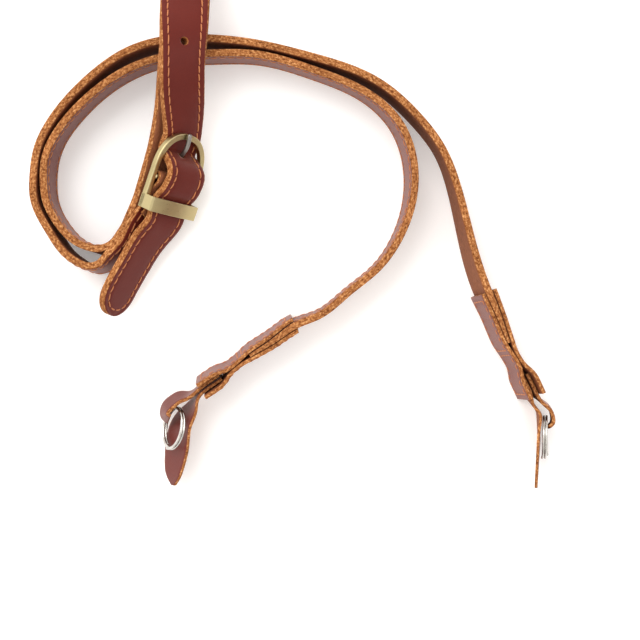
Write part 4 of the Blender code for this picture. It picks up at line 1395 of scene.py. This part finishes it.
# %% Split rings
def make_ring(side, row):
    centre = np.array([row[0] * LOOP_WIDTH, row[1] * LOOP_LENGTH, row[2] * STRAP_WIDTH])
    lean, heading = math.radians(row[3]), math.radians(row[4])
    far = np.array([-math.sin(heading), -math.cos(heading), 0])
    up = np.array([math.sin(lean), 0, math.cos(lean)])
    up = unit(up - far * np.dot(up, far))
    axis = np.cross(up, far)
    steps = 4 * RING_STEPS
    pitch = RING_WIDTH + RING_TURN_GAP
    verts, faces = [], []
    half_w, half_h, ease = RING_WIDTH / 2, RING_WIRE / 2, RING_WIRE * 0.22
    corner = [(half_w, half_h - ease), (half_w - ease, half_h), (ease - half_w, half_h), (-half_w, half_h - ease)]
    corner += [(-a, -b) for a, b in corner]
    for k in range(steps + 1):
        share = k / steps
        turn = 2 * math.pi * RING_TURNS * share
        out = math.cos(turn) * far + math.sin(turn) * up
        slide = (share - 0.5) * RING_TURNS * pitch
        middle = centre + out * (RING_RADIUS - RING_WIRE / 2) + axis * slide
        verts += [middle + axis * a + out * b - ORIGIN for a, b in corner]
    for k in range(steps):
        for q in range(8):
            n = (q + 1) % 8
            faces.append((8 * k + q, 8 * k + n, 8 * k + 8 + n, 8 * k + 8 + q))
    faces += [tuple(reversed(range(8))), tuple(range(8 * steps, 8 * steps + 8))]
    made = plain_mesh("fine_" + side + "_ring", verts, faces, nickel)
    soften(made, 0.0001, 30)
    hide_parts(side + "_ring")
    return made


split_rings = [make_ring("left", LEFT_RING), make_ring("right", RIGHT_RING)]
print("split rings:", len(split_rings))

# %% [markdown]
# ## Everything rides with the part
# The strap has no joints, so all pieces follow its one body.

# %% Ride
made_pieces = [tip_half, buckle_half, stirrup, bar, keeper, prong] + sewing + small_leather + split_rings
made_pieces += [made for made, _, _ in left_covers + right_covers]
for piece in made_pieces:
    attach(piece, "root")
print("pieces:", len(made_pieces))

# %% [markdown]
# ## Table, light and camera
# The strap lies on a white table in a bright, soft studio. One large light above the far left gives the leather its
# sheen, and a pale room fills the shadows. The room is brighter on the left and at the far side, which gives the metal
# something to mirror. The table also glows a little, though it is no lamp. This painted light lifts the shadows on it,
# so they stay as faint as those on a white sweep lit from below. The camera looks straight down from about 40 cm.

# %% Table
def make_table():
    made, tree, shader = new_material("white table", 0.6, 0.0, 0.3)
    spots = noise(tree, object_map(tree), 14.0, 4.0)
    link(tree, mixed(tree, spots, (0.86, 0.855, 0.85), (0.90, 0.895, 0.89)), shader.inputs["Base Color"])
    # painted light: the table glows faintly, though it is no lamp, which lifts the shadows cast on it
    shader.inputs["Emission Color"].default_value = (1.0, 0.985, 0.97, 1.0)
    shader.inputs["Emission Strength"].default_value = 0.22
    mesh = bpy.data.meshes.new("table")
    size = 3.0
    corners = [(-size, -size, 0), (size, -size, 0), (size, size, 0), (-size, size, 0)]
    mesh.from_pydata(corners, [], [(0, 1, 2, 3)])
    mesh.materials.append(made)
    floor = bpy.data.objects.new("table", mesh)
    bpy.context.scene.collection.objects.link(floor)
    return floor


table = make_table()
print("table ready")


# %% Light
def area_light(name, place, target, size, power):
    """A soft light that faces the target. Size in metres, power in watts."""
    data = bpy.data.lights.new(name, "AREA")
    data.shape = "RECTANGLE"
    data.size, data.size_y = size
    data.energy = power
    lamp = bpy.data.objects.new(name, data)
    lamp.location = place
    way = np.array(target) - np.array(place)
    lamp.rotation_mode = "QUATERNION"
    lamp.rotation_quaternion = Vector(way).to_track_quat("-Z", "Y")
    bpy.context.scene.collection.objects.link(lamp)
    return lamp


lights = [
    area_light("big soft light", (-0.45, 0.55, 0.95), (0, 0, 0), (0.9, 0.9), 8.0),
    area_light("fill from the right", (0.9, -0.2, 0.7), (0, 0, 0), (0.8, 0.8), 2.0),
]

# the way of each ray, from -1 to 1 on each axis, makes the room brighter on one side
world = bpy.data.worlds.new("pale room")
world.use_nodes = True
room = world.node_tree
background = room.nodes["Background"]
background.inputs["Color"].default_value = (1.0, 0.975, 0.94, 1.0)
way = room.nodes.new("ShaderNodeSeparateXYZ")
link(room, room.nodes.new("ShaderNodeTexCoord").outputs["Generated"], way.inputs[0])
side_light = maths(room, "MULTIPLY", way.outputs["X"], -0.28)
far_light = maths(room, "MULTIPLY", way.outputs["Y"], 0.14)
link(room, maths(room, "ADD", maths(room, "ADD", side_light, far_light), 1.14), background.inputs["Strength"])
bpy.context.scene.world = world
bpy.context.scene.view_settings.view_transform = "Standard"
print("lights:", len(lights))

# %% Camera
CAMERA_HEIGHT = 0.396
FOCAL_SHARE = 1100 / 640
SENSOR = 36.0
camera_data = bpy.data.cameras.new("camera")
camera_data.sensor_width = SENSOR
camera_data.lens = SENSOR * FOCAL_SHARE
camera = bpy.data.objects.new("camera", camera_data)
camera.location = (-ORIGIN[0], -ORIGIN[1], CAMERA_HEIGHT - ORIGIN[2])
bpy.context.scene.collection.objects.link(camera)
bpy.context.scene.camera = camera
print("lens", round(camera_data.lens, 2), "mm")
